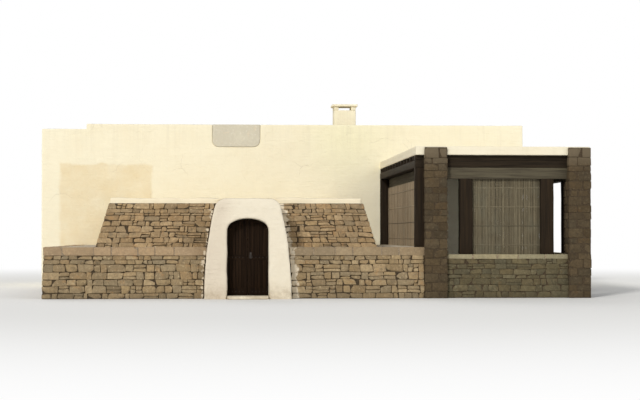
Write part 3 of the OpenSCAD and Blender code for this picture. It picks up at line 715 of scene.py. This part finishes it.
def tierStones(name, look, material, low, high, frontTop, porch=None):
    # the front ends at frontTop; where a porch stands in the way, it gives the front's right end and
    # the near end of the right side
    rng = random.Random(look["seed"])
    bm = startTones()
    middle, half, rise = (low.x + high.x) / 2, (high.x - low.x) / 2, high.z - low.z
    courses = splitLength(rng, low.z, frontTop, look["course"], 0.42)
    if high.z > frontTop:
        courses += splitLength(rng, frontTop, high.z, look["course"], 0.42)
    out, bed = quoin["out"], quoin["bed"]
    for i, (z0, z1) in enumerate(courses):
        share = ((z0 + z1) / 2 - low.z) / rise
        squeeze = (half - look["lean"] * share) / half
        gate = portalHalf((z0 + z1) / 2)
        gateLeft = middle + (-gate - middle) / squeeze - 0.01
        gateRight = middle + (gate - middle) / squeeze + 0.01
        longSide, shortSide = look["quoins"] if i % 2 else reversed(look["quoins"])
        if z1 <= frontTop + 0.01:
            addBlock(bm, rocks, rng, (low.x - out, low.y - out, z0 + bed),
                     (low.x + longSide, low.y + shortSide, z1 - bed), quoin["skew"])
            faceStones(bm, rng, look, 1, low.y, -1, low.x + longSide, gateLeft, z0, z1)
            frontEnd = porch[0] if porch else high.x - shortSide
            if not porch:
                addBlock(bm, rocks, rng, (high.x - shortSide, low.y - out, z0 + bed),
                         (high.x + out, low.y + longSide, z1 - bed), quoin["skew"])
            faceStones(bm, rng, look, 1, low.y, -1, gateRight, frontEnd, z0, z1)
            faceStones(bm, rng, look, 0, low.x, -1, low.y + shortSide, high.y, z0, z1)
        sideStart = porch[1] if porch else low.y + longSide
        faceStones(bm, rng, look, 0, high.x, 1, sideStart, high.y, z0, z1)
    wobbleCourses(bm, look["wander"], low.z, high.z)
    for v in bm.verts:
        share = (v.co.z - low.z) / rise
        v.co.x = middle + (v.co.x - middle) * (half - look["lean"] * share) / half
        v.co.y = high.y - (high.y - v.co.y) * (high.y - low.y - look["lean"] * share) / (high.y - low.y)
    stonePiece(name, bm, material)


ledgeZ = lowerHigh.z
tierStones("lowerTierStones", lowerTier, stoneLower, lowerLow, lowerHigh, ledgeZ - copings["height"],
           (pierLow.x, pierHigh.y))
tierStones("upperTierStones", upperTier, stoneUpper, upperLow, upperHigh, upperHigh.z)
dressNodes(hearting, "lower_wall_left", "lower_wall_right", "upper_wall_left", "upper_wall_right",
           "chamber_back_wall", "porch_piers", "porch_parapet")
print("trullo stones laid")


# Copings of the ledge and of the porch parapet, and the flat stones of the ledge

ledgeFlags = {"stone": 0.42, "row": 0.34, "gap": 0.02, "above": 0.018, "below": 0.03, "seed": 9}


def slabRow(bm, rng, look, axis, start, end, side0, side1, z0, z1):
    for a, b in splitLength(rng, start, end, look["stone"], 0.35):
        gap = look["gap"] / 2
        low, high = [0, 0, z0], [0, 0, z1 + rng.uniform(0.0, 0.008)]
        low[axis], high[axis] = a + gap, b - gap
        low[1 - axis], high[1 - axis] = side0 + rng.uniform(-0.006, 0.006), side1
        addBlock(bm, slabs, rng, low, high, 0.03)


def flagField(bm, rng, look, x0, x1, y0, y1, z):
    for a, b in splitLength(rng, y0, y1, look["row"], 0.3):
        for c, d in splitLength(rng, x0, x1, look["stone"], 0.35):
            gap = look["gap"] / 2
            rise = look["above"] * rng.uniform(0.5, 1.0)
            addBlock(bm, slabs, rng, (c + gap, a + gap, z - look["below"]),
                     (d - gap, b - gap, z + rise), 0.12)


rng = random.Random(copings["seed"])
proud, depth = copings["proud"], copings["depth"]
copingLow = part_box("low_wall_copings")[0]
gateAtLedge = portalHalf(ledgeZ - copings["height"] / 2) + 0.01
ledgeBand = (ledgeZ - copings["height"] - copings["bed"], ledgeZ + copings["rise"])
bm = startTones()
slabRow(bm, rng, copings, 0, copingLow.x - proud, -gateAtLedge, copingLow.y - proud, depth, *ledgeBand)
slabRow(bm, rng, copings, 1, depth, lowerHigh.y, copingLow.x - proud, lowerLow.x + depth, *ledgeBand)
stonePiece("ledgeCopingLeft", bm, stoneCoping)
bm = startTones()
slabRow(bm, rng, copings, 0, gateAtLedge, pierLow.x, copingLow.y - proud, depth, *ledgeBand)
stonePiece("ledgeCopingRight", bm, stoneDullCoping)

rng = random.Random(ledgeFlags["seed"])
bm = startTones()
for x0, x1, y0, y1 in ((lowerLow.x + depth, upperLow.x - 0.02, depth, lowerHigh.y),
                       (upperLow.x, -gateAtLedge, depth, upperLow.y - 0.01),
                       (gateAtLedge, pierLow.x, depth, upperLow.y - 0.01),
                       (upperHigh.x + 0.02, pierLow.x, upperLow.y, lowerHigh.y)):
    flagField(bm, rng, ledgeFlags, x0, x1, y0, y1, ledgeZ)
stonePiece("ledgeFlags", bm, stonePaving)
dressNodes(paleHearting, "low_wall_copings")
print("copings and flags laid")


# Porch piers and parapet

piers = {"course": 0.2, "gap": 0.014, "proud": 0.018, "seed": 21}
parapet = {"course": 0.15, "stone": 0.28, "split": 0.2, "gap": 0.016, "proud": (0.004, 0.026),
           "depth": 0.12, "skew": 0.12, "thick": 0.4, "wayIn": 1.3, "seed": 23}
parapetCap = {"thick": 0.114, "rise": 0.004, "front": 0.025, "back": 0.02, "inner": 0.012, "outer": 0.016,
              "end": 0.01}             # its thickness, and how far it stands past the wall on each side


def pierStones(bm, rng, x0, x1, y0, y1, top):
    def inFrom(start, end):
        return start + (end - start) * rng.uniform(0.3, 0.42)

    for i, (z0, z1) in enumerate(splitLength(rng, 0.0, top, piers["course"], 0.3)):
        a, b, c, d = inFrom(x0, x1), inFrom(y0, y1), inFrom(x1, x0), inFrom(y1, y0)
        if i % 2:
            blocks = [(x0, a, y0, d), (x0, c, d, y1), (c, x1, b, y1), (a, x1, y0, b)]
        else:
            blocks = [(x0, c, y0, b), (c, x1, y0, d), (a, x1, d, y1), (x0, a, b, y1)]
        g = piers["gap"] / 2
        for bx0, bx1, by0, by1 in blocks:
            out = piers["proud"] * rng.uniform(0.3, 1.0)
            addBlock(bm, rocks, rng,
                     (bx0 - out if bx0 == x0 else bx0 + g, by0 - out if by0 == y0 else by0 + g, z0 + g / 2),
                     (bx1 + out if bx1 == x1 else bx1 - g, by1 + out if by1 == y1 else by1 - g, z1 - g / 2),
                     0.05)


rng = random.Random(piers["seed"])
bm = startTones()
pierStones(bm, rng, pierLow.x, pierLow.x + pierSide, pierLow.y, pierHigh.y, pierHigh.z)
pierStones(bm, rng, pierHigh.x - pierSide, pierHigh.x, pierLow.y, pierHigh.y, pierHigh.z)
stonePiece("pierStones", bm, stonePier)

wayInEnd = pierHigh.y + parapet["wayIn"]
innerX, innerY = parapetHigh.x - parapet["thick"], parapetLow.y + parapet["thick"]
frontRun, sideRun = (parapetLow.x, pierHigh.x - pierSide), (wayInEnd, parapetHigh.y)
rng = random.Random(parapet["seed"])
bm = startTones()
for z0, z1 in splitLength(rng, 0.0, parapetHigh.z, parapet["course"], 0.3):
    for axis, at, outward, run in ((1, parapetLow.y, -1, frontRun), (1, innerY, 1, frontRun),
                                   (0, parapetHigh.x, 1, sideRun), (0, innerX, -1, sideRun),
                                   (1, wayInEnd, -1, (innerX, parapetHigh.x))):
        faceStones(bm, rng, parapet, axis, at, outward, *run, z0, z1)
wobbleCourses(bm, 0.02, 0.0, parapetHigh.z)
stonePiece("parapetStones", bm, stonePorch)

bm = startTones()
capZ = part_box("porch_posts")[0].z
capBand = (capZ - parapetCap["thick"], capZ + parapetCap["rise"])
slabRow(bm, rng, copings, 0, *frontRun, parapetLow.y - parapetCap["front"], innerY + parapetCap["back"],
        *capBand)
slabRow(bm, rng, copings, 1, wayInEnd - parapetCap["end"], parapetHigh.y, innerX - parapetCap["inner"],
        parapetHigh.x + parapetCap["outer"], *capBand)
stonePiece("parapetCopingStones", bm, stoneGreyCoping)
print("porch stones laid")


# Portal, threshold, terrace coping and chimney in limewash

calmBox = {"half": 0.68, "front": -0.05, "top": 2.25, "share": 0.15}


def calmInside(co):  # the skin stays true where the leaves turn
    within = abs(co.x) < calmBox["half"] and co.y > calmBox["front"] and co.z < calmBox["top"]
    return calmBox["share"] if within else 1.0


moulded("portalLime", ("portal_left_jamb", "portal_right_jamb", "portal_arch_head"), 0.03, limewash,
        0.02, soften=10, calm=calmInside)
softCopy("thresholdSlab", "threshold", limewash, "limewash", 0.018, 0.12, 0.004)
moulded("terraceCopingLime", ("terrace_coping",), 0.04, limewashWorn, 0.025)
softCopy("chimneyStackLime", "chimney_stack", limewashHigh, "limewash", 0.025, 0.18, 0.008)
softCopy("chimneyCapLime", "chimney_cap", limewashHigh, "limewash", 0.015, 0.2, 0.005)
print("lime pieces moulded")


# House walls and roofs

houseSkin = {"edge": 0.028, "cell": 0.3, "wobble": 0.012}
seamX, seamFront, seamRear = (0, frontHigh.x), (1, frontHigh.y), (1, rearLow.y)
for name, node, material, slot, seams in (
        ("houseFrontLime", "house_front_wall", limewashFront, "limewash", (seamX, seamFront)),
        ("porchBackWall", "porch_back_wall", limewashFront, "shade_wall", (seamX, seamFront)),
        ("houseRearLime", "house_rear_wall", limewashRear, "limewash", (seamRear,)),
        ("houseEndLime", "house_end_walls", limewashSide, "limewash", (seamFront, seamRear))):
    softCopy(name, node, material, slot, **houseSkin, seams=seams)
softCopy("porchRoofLime", "porch_roof", limewashRoofEdge, "limewash", 0.02, 0.35, 0.008)
softCopy("panelStone", "stone_panel", stonePanel, "panel_stone", 0.012, 0.2, 0.003)
softCopy("rainSpoutStones", "rain_spouts", stoneCoping, "pale_stone", 0.012, 0.15, 0.004)

roofPaving = {"row": 0.52, "stone": 0.62, "gap": 0.014, "above": 0.022, "below": 0.01, "seed": 31}
rng = random.Random(roofPaving["seed"])
bm = startTones()
flagField(bm, rng, roofPaving, roofLow.x, roofHigh.x, roofLow.y, roofHigh.y, roofHigh.z)
stonePiece("roofPaving", bm, stonePaving)
dressNodes(screed, "house_roof", "terrace_screed")
dressNodes(stonePaving, "house_floor")
dressNodes(paleHearting, "chamber_floor")
print("house walls and roofs made")


# Timber: hewn posts, beams and joists

timber = {"post": 0.24, "chamfer": 0.016, "hewing": 0.009, "station": 0.28, "seed": 41}


def addHewn(bm, rng, low, high, axis):
    part = bmesh.new()
    bmesh.ops.create_cube(part, size=1.0)
    runs = [e for e in part.edges if abs(e.verts[0].co[axis] - e.verts[1].co[axis]) > 0.5]
    cuts = max(2, round((high[axis] - low[axis]) / timber["station"]))
    bmesh.ops.subdivide_edges(part, edges=runs, cuts=cuts)
    size = placeCube(part, low, high)
    arris = [e for e in part.edges if e.calc_face_angle(0) > 1.0]
    softenEdges(part, arris, min(timber["chamfer"], 0.3 * min(size)), 2)
    seed = rng.uniform(0, 50)
    for v in part.verts:
        push = noise.noise_vector(v.co * 2.4 + Vector((seed, seed, seed))) * timber["hewing"]
        push[axis] *= 0.2
        v.co += push
    addPart(bm, part, rng.random())


def solidBoxes(node):  # the boxes of a node's separate members
    bm = bmesh.new()
    bm.from_mesh(cad[node].data)
    mergeDoubles(bm)
    left = set(bm.verts)
    boxes = []
    while left:
        group, edge = set(), [left.pop()]
        while edge:
            v = edge.pop()
            group.add(v)
            for e in v.link_edges:
                w = e.other_vert(v)
                if w in left:
                    left.remove(w)
                    edge.append(w)
        boxes.append((Vector([min(v.co[i] for v in group) for i in range(3)]),
                      Vector([max(v.co[i] for v in group) for i in range(3)])))
    bm.free()
    return sorted(boxes, key=lambda b: tuple(round(c, 3) for c in b[0]))


def timberPieces(stem, node, materials, topZ=None):
    rng = random.Random(timber["seed"] + len(node))
    groups = {}
    boxes = solidBoxes(node)
    if topZ is not None:               # a beam that is fused with the block on its near end
        blocks = [(Vector((low.x, low.y, topZ)), Vector((high.x, low.y + timber["post"], high.z)))
                  for low, high in boxes if high.z > topZ + 0.01]
        boxes = [(low, Vector((high.x, high.y, min(high.z, topZ)))) for low, high in boxes] + blocks
    for low, high in boxes:
        size = high - low
        axis = max(range(3), key=lambda i: size[i])
        groups.setdefault(axis, []).append((low, high))
    for number, (axis, boxes) in enumerate(sorted(groups.items())):
        bm = startTones()
        for low, high in boxes:
            addHewn(bm, rng, low, high, axis)
        makePiece(stem + "XYZ"[axis], bm, materials["XYZ"[axis]], sharpAngle=35,
                  replaced=(node,) if number == 0 else ())


timberPieces("porchPosts", "porch_posts", darkTimber)
timberPieces("plateBeams", "plate_beams", paleTimber)
timberPieces("roofBeams", "roof_beams", darkTimber, joistLow.z)
timberPieces("roofJoists", "roof_joists", darkTimber)

ceiling = {"board": 0.21, "gap": 0.008, "thick": 0.02, "front": 0.55, "seed": 43}
rng = random.Random(ceiling["seed"])
bm = startTones()
for a, b in splitLength(rng, joistLow.x + 0.02, joistHigh.x - 0.02, ceiling["board"], 0.12):
    addHewn(bm, rng, (a + ceiling["gap"] / 2, ceiling["front"], joistHigh.z - ceiling["thick"]),
            (b - ceiling["gap"] / 2, joistHigh.y + 0.05, joistHigh.z), 1)
makePiece("ceilingBoards", bm, darkTimber["Y"], sharpAngle=35)
print("timber hewn")


# Cane screens

canes = {"pitch": 0.0178, "radius": (0.008, 0.0105), "joint": 0.32, "sides": 7, "battens": 4,
         "batten": (0.011, 0.004, 0.011), "tuck": 0.012, "seed": 51}


def caneShape(length):
    bm = bmesh.new()
    bmesh.ops.create_cone(bm, cap_ends=True, segments=canes["sides"], radius1=1.0, radius2=1.0, depth=1.0)
    runs = [e for e in bm.edges if abs(e.verts[0].co.z - e.verts[1].co.z) > 0.5]
    joints = max(2, round(length / canes["joint"]))
    bmesh.ops.subdivide_edges(bm, edges=runs, cuts=joints * 2 - 1)
    for v in bm.verts:
        ring = round((v.co.z + 0.5) * joints * 2)
        swell = 1.16 if ring % 2 == 0 else 0.98
        v.co.x *= swell
        v.co.y *= swell
    return bakeMesh(bm, "caneShape")


def caneScreen(name, low, high, axis, material, replaced=()):
    rng = random.Random(canes["seed"] + axis)
    high = high + Vector((0, 0, canes["tuck"]))
    length = high.z - low.z
    shapes = [caneShape(length) for i in range(4)]
    bm = startTones()
    middle = (low + high) / 2
    across = high[axis] - low[axis]
    count = int(across / canes["pitch"])
    for i in range(count):
        radius = rng.uniform(*canes["radius"])
        at = middle.copy()
        at[axis] = low[axis] + across * (i + 0.5) / count
        at[1 - axis] += rng.uniform(-0.002, 0.002)
        mesh = rng.choice(shapes)
        lean, tone, slip = rng.uniform(-0.004, 0.004), rng.random(), rng.uniform(-0.05, 0.05)
        for v in addMesh(bm, mesh, tone):
            z = v.co.z
            v.co = Vector((v.co.x * radius, v.co.y * radius, 0)) + at
            v.co.z = at.z + max(-0.5, min(0.5, z + slip * (0.5 - abs(z)))) * length
            v.co[axis] += lean * z
    off, half, tall = canes["batten"]
    for i in range(canes["battens"]):  # split canes that hold the screen, front and back
        z = low.z + length * (i + 0.5) / canes["battens"]
        for side in (-1, 1):
            corner0, corner1 = low.copy(), high.copy()
            corner0[1 - axis] = middle[1 - axis] + side * off - half
            corner1[1 - axis] = middle[1 - axis] + side * off + half
            corner0.z, corner1.z = z - tall, z + tall
            addHewn(bm, rng, corner0, corner1, axis)
    makePiece(name, bm, material, sharpAngle=50, replaced=replaced)


screens = solidBoxes("cane_screens")
caneScreen("sideCanes", *screens[0], 1, sideCane, ("cane_screens",))
# the front screen takes the canes darkened with painted shade
caneScreen("frontCanes", *screens[1], 0, shadedFrontCane)
print("canes tied")


# Doors

door = {
    "board": 0.075, "gap": 0.004, "boardOut": 0.007, "rail": (0.98, 1.12), "stile": 0.095,
    "innerHalf": 0.46, "bottomRail": 0.27, "springZ": 1.74, "face": 0.005, "recess": 0.017,
    "corner": 0.17, "crown": 0.07, "crownOver": 0.12, "bead": (0.006, 0.036, 0.13, 2.03), "seed": 61,
}
studs = {"radius": 0.011, "height": 0.007, "rows": (0.18, 1.05), "across": (0.12, 0.21, 0.30, 0.39, 0.48),
         "edge": 0.515, "first": 0.3, "pitch": 0.13, "count": 11}
handle = {"x": 0.075, "z": 1.05, "ring": 0.042, "wire": 0.0045, "plate": (0.05, 0.16)}


def addBox(bm, low, high, tone, edge):
    part = bmesh.new()
    bmesh.ops.create_cube(part, size=1.0)
    placeCube(part, low, high)
    softenEdges(part, part.edges[:], edge, 2)
    addPart(bm, part, tone)


def archTop(x):  # underside of the stile round the boards, above x
    corner = door["innerHalf"] - door["corner"]
    if abs(x) > corner:
        return door["springZ"] + math.sqrt(max(door["corner"] ** 2 - (abs(x) - corner) ** 2, 0.0))
    bow = math.sqrt(max(1 - (x / (corner + door["crownOver"])) ** 2, 0.0))
    return door["springZ"] + door["corner"] + door["crown"] * bow


def addStud(bm, x, z):
    stud = bmesh.new()
    bmesh.ops.create_uvsphere(stud, u_segments=10, v_segments=6, radius=studs["radius"])
    bmesh.ops.bisect_plane(stud, geom=everything(stud), plane_co=(0, 0, 0), plane_no=(0, 1, 0),
                           clear_outer=True)
    bmesh.ops.holes_fill(stud, edges=stud.edges[:])
    mergeDoubles(stud, 0.0001)
    bmesh.ops.scale(stud, vec=(1, studs["height"] / studs["radius"], 1), verts=stud.verts[:])
    bmesh.ops.translate(stud, vec=(x, door["face"] - 0.0005, z), verts=stud.verts[:])
    addPart(bm, stud, 0.5)


def leafPieces(side, hand, body):
    def finishPart(stem, bm, material):
        makePiece(stem + hand, bm, material, body)

    rng = random.Random(door["seed"] + side)
    face, back = door["face"], door["recess"] + 0.01
    bm = startTones()
    for a, b in splitLength(rng, door["stile"], door["innerHalf"], door["board"], 0.1):
        top = min(archTop(a + 0.004), archTop(b - 0.004)) + 0.012
        x0, x1 = sorted((side * (a + door["gap"] / 2), side * (b - door["gap"] / 2)))
        addBox(bm, (x0, door["recess"] - door["boardOut"], door["bottomRail"] - 0.01), (x1, back, top),
               rng.random(), 0.003)
    finishPart("doorBoards", bm, doorTimber["Z"])
    bm = startTones()
    x0, x1 = sorted((side * (door["stile"] - 0.004), side * (door["innerHalf"] + 0.004)))
    addBox(bm, (x0, face - 0.001, door["rail"][0]), (x1, back, door["rail"][1]), 0.6, 0.003)
    finishPart("doorRail", bm, doorTimber["X"])
    bm = startTones()
    near, far, foot, top = door["bead"]
    x0, x1 = sorted((side * near, side * far))
    addBox(bm, (x0, face - 0.009, foot), (x1, face + 0.004, top), 1.0, 0.004)
    finishPart("meetingBead", bm, doorTimber["Z"])
    bm = startTones()
    spots = [(x, z) for z in studs["rows"] for x in studs["across"]]
    spots += [(studs["edge"], studs["first"] + studs["pitch"] * i) for i in range(studs["count"])]
    for x, z in spots:
        addStud(bm, side * x, z)
    finishPart("doorStuds", bm, iron)


leafPieces(-1, "Left", "left_leaf")
leafPieces(1, "Right", "right_leaf")

# The fixed doors: planks between two rails, with a ring latch

fixedDoor = {"plank": 0.12, "gap": 0.004, "out": 0.012, "half": 0.5, "foot": 0.15, "spring": 1.85,
             "crown": 2.15, "rails": (0.32, 1.05, 1.78), "rail": (0.11, 0.02), "latch": (0.38, 1.1),
             "rearX": 0.0, "seed": 66}


def crownAt(x):  # the doorway's soffit above x, measured from its middle
    rise = fixedDoor["crown"] - fixedDoor["spring"]
    return fixedDoor["spring"] + rise * math.sqrt(max(1 - (x / fixedDoor["half"]) ** 2, 0.0)) * 0.98


def pullRing(at):  # a ring of round iron that hangs flat on a door
    ring = bmesh.new()
    bmesh.ops.create_circle(ring, segments=8, radius=handle["wire"])
    bmesh.ops.translate(ring, vec=(handle["ring"], 0, 0), verts=ring.verts[:])
    bmesh.ops.spin(ring, geom=ring.verts[:] + ring.edges[:], cent=(0, 0, 0), axis=(0, 1, 0), dvec=(0, 0, 0),
                   angle=math.tau, steps=28, use_merge=True)
    bmesh.ops.recalc_face_normals(ring, faces=ring.faces[:])
    bmesh.ops.translate(ring, vec=at, verts=ring.verts[:])
    return ring


def fixedDoorPlanks(name, middle, face, outward):
    def depths(near, far):
        return sorted((face + outward * near, face + outward * far))

    rng = random.Random(fixedDoor["seed"])
    bm = startTones()
    half, out = fixedDoor["half"] - 0.005, fixedDoor["out"]
    tall, thick = fixedDoor["rail"]
    y0, y1 = depths(-0.004, out)
    for a, b in splitLength(rng, -half, half, fixedDoor["plank"], 0.1):
        top = min(crownAt(a), crownAt(b), max(crownAt(a), crownAt(b)) - 0.01)
        addBox(bm, (middle + a + fixedDoor["gap"] / 2, y0, fixedDoor["foot"] + 0.005),
               (middle + b - fixedDoor["gap"] / 2, y1, top), rng.random(), 0.003)
    y0, y1 = depths(out - 0.002, out + thick)
    for z in fixedDoor["rails"]:
        addBox(bm, (middle - half + 0.03, y0, z), (middle + half - 0.03, y1, z + tall), rng.random(), 0.005)
    makePiece(name, bm, doorTimber["Z"])
    bm = startTones()
    x, z = fixedDoor["latch"]
    y0, y1 = depths(out + thick, out + thick + 0.006)
    addBox(bm, (middle + x - 0.03, y0, z - 0.05), (middle + x + 0.03, y1, z + 0.09), 0.5, 0.002)
    addPart(bm, pullRing(Vector((middle + x, face + outward * (out + thick + 0.011), z + 0.03))), 0.5)
    makePiece(name + "Latch", bm, iron)


bm = startTones()
plateHalf, plateTall = handle["plate"][0] / 2, handle["plate"][1]
addBox(bm, (handle["x"] - plateHalf, 0.0, handle["z"] - 0.03),
       (handle["x"] + plateHalf, 0.0055, handle["z"] + plateTall - 0.03), 0.5, 0.002)
addPart(bm, pullRing(Vector((handle["x"], -0.005, handle["z"] + 0.02))), 0.5)
makePiece("ringPull", bm, iron, "right_leaf")
doorLow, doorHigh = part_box("fixed_doors")
fixedDoorPlanks("porchDoorPlanks", doorHigh.x - fixedDoor["half"], doorLow.y, -1)
fixedDoorPlanks("rearDoorPlanks", fixedDoor["rearX"], doorHigh.y, 1)

rings = ["corbel_ring_%d" % i for i in range(1, 6)]
dressNodes(doorTimber["Z"], "door_frame", "door_leaf_left", "door_leaf_right", "fixed_doors")
dressNodes(iron, "strap_hinges_left", "strap_hinges_right", "hinge_pintles")
dressNodes(stoneDome, "passage_lintel", "dome_capstone")
dressNodes(hearting, *rings)
print("doors fitted")


# Stones inside: the sides of the passage, the round chamber and the corbelled rings over it

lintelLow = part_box("passage_lintel")[0]
inside = {
    "course": 0.17, "stone": 0.3, "split": 0.1, "gap": 0.016, "proud": (0.004, 0.02), "depth": 0.09,
    "skew": 0.12, "middle": (0.0, 3.9), "radius": 1.75, "half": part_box("lower_wall_right")[0].x,
    "front": lintelLow.y, "top": lintelLow.z, "foot": 0.09, "band": 0.258, "seed": 71,
}


def ringStones(bm, rng, radius, spread, z0, z1):  # one course laid straight, then bent round the chamber
    start = len(bm.verts)
    faceStones(bm, rng, inside, 1, 0.0, -1, -spread * radius, spread * radius, z0, z1)
    bm.verts.ensure_lookup_table()
    for v in bm.verts[start:]:
        turn, reach = v.co.x / radius, radius + v.co.y
        v.co.x = inside["middle"][0] + reach * math.sin(turn)
        v.co.y = inside["middle"][1] + reach * math.cos(turn)


rng = random.Random(inside["seed"])
bm = startTones()
doorwaySpread = math.pi - math.asin((inside["half"] + 0.03) / inside["radius"])
passageEnd = inside["middle"][1] - math.sqrt(inside["radius"] ** 2 - inside["half"] ** 2)
for z0, z1 in splitLength(rng, inside["foot"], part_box(rings[0])[0].z, inside["course"], 0.3):
    ringStones(bm, rng, inside["radius"], doorwaySpread, z0, z1)
for z0, z1 in splitLength(rng, inside["foot"], inside["top"], inside["course"], 0.3):
    for side in (-1, 1):
        faceStones(bm, rng, inside, 0, side * inside["half"], -side, inside["front"] + 0.02,
                   passageEnd - 0.03, z0, z1)
stonePiece("chamberStones", bm, stoneDome)
bm = startTones()
for ring in rings:
    low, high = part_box(ring)
    radius = min(math.hypot(v.co.x - inside["middle"][0], v.co.y - inside["middle"][1])
                 for v in cad[ring].data.vertices)
    overPassage = low.z < inside["top"] - 0.05
    spread = math.pi - (math.asin((inside["half"] + 0.05) / radius) if overPassage else 0.0)
    ringStones(bm, rng, radius, spread, low.z + 0.004, min(high.z, low.z + inside["band"]) - 0.004)
stonePiece("corbelStones", bm, stoneDome)
print("chamber lined")


# Stage, light and camera

floorLook = {"colour": (0.84, 0.83, 0.81), "radius": 400, "place": (1.3, 6.5, -0.002), "fade": (14.0, 34.0)}
worldLook = {"colour": (0.96, 0.98, 1.0), "strength": 0.45}
suns = {                               # direction of its light, strength, spread in degrees, colour
    "keySun": ((0.55, 1.0, -0.62), 1.88, 9, (1.0, 0.985, 0.95)),
    "fillSun": ((-0.9, 0.7, -0.8), 0.35, 40, (0.97, 0.985, 1.0)),
    "backSun": ((0.3, -1.0, -0.8), 0.6, 40, (1.0, 1.0, 1.0)),
}
eye = {"place": (-0.72, -40.0, 1.64), "aim": (1.85, 0.0, 2.52), "lens": 88.0, "far": 2000}


def emptyTree(owner):
    owner.use_nodes = True
    owner.node_tree.nodes.clear()
    return owner.node_tree


def blendInto(tree, kind, factor, first, second):
    mix = addNode(tree, "MixShader", {0: factor, 1: first.outputs[0], 2: second.outputs[0]})
    addNode(tree, kind, {0: mix.outputs[0]})


def makeFloor():
    material = bpy.data.materials.new("paleFloor")
    tree = emptyTree(material)
    place = addNode(tree, "TexCoord", {}).outputs["Object"]
    away = addNode(tree, "VectorMath", {0: place}, operation="LENGTH").outputs["Value"]
    blendInto(tree, "OutputMaterial", fade(tree, away, *floorLook["fade"]),
              addNode(tree, "BsdfDiffuse", {"Color": floorLook["colour"]}), addNode(tree, "Emission", {}))
    bm = bmesh.new()
    bmesh.ops.create_circle(bm, cap_ends=True, segments=64, radius=floorLook["radius"])
    mesh = bakeMesh(bm, "stageFloor")
    mesh.materials.append(material)
    floor = bpy.data.objects.new("stageFloor", mesh)
    floor.location = floorLook["place"]
    bpy.context.scene.collection.objects.link(floor)


def makeWorld():
    world = bpy.data.worlds.new("studio")
    bpy.context.scene.world = world
    tree = emptyTree(world)
    path = addNode(tree, "LightPath", {}).outputs
    mirrored = maths(tree, "MAXIMUM", path["Is Glossy Ray"], path["Is Transmission Ray"])
    blendInto(tree, "OutputWorld", maths(tree, "MAXIMUM", path["Is Camera Ray"], mirrored),
              addNode(tree, "Background", {"Color": worldLook["colour"], "Strength": worldLook["strength"]}),
              addNode(tree, "Background", {"Color": (1.0, 1.0, 1.0)}))


def aimed(name, data, towards):  # a lamp or camera that looks along a direction
    thing = bpy.data.objects.new(name, data)
    thing.rotation_mode = "QUATERNION"
    thing.rotation_quaternion = Vector(towards).to_track_quat("-Z", "Y")
    bpy.context.scene.collection.objects.link(thing)
    return thing


makeFloor()
makeWorld()
for name, (towards, strength, spread, colour) in suns.items():
    lamp = bpy.data.lights.new(name, "SUN")
    lamp.energy = strength
    lamp.angle = math.radians(spread)
    lamp.color = colour
    aimed(name, lamp, towards)
cameraData = bpy.data.cameras.new("camera")
cameraData.lens = eye["lens"]
cameraData.clip_end = eye["far"]
camera = aimed("camera", cameraData, Vector(eye["aim"]) - Vector(eye["place"]))
camera.location = eye["place"]
bpy.context.scene.camera = camera
bpy.context.scene.view_settings.view_transform = "Standard"

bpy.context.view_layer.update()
triangles = sum(len(p.vertices) - 2 for o in bpy.data.objects if o.type == "MESH" for p in o.data.polygons)
print("scene ready:", triangles, "triangles")
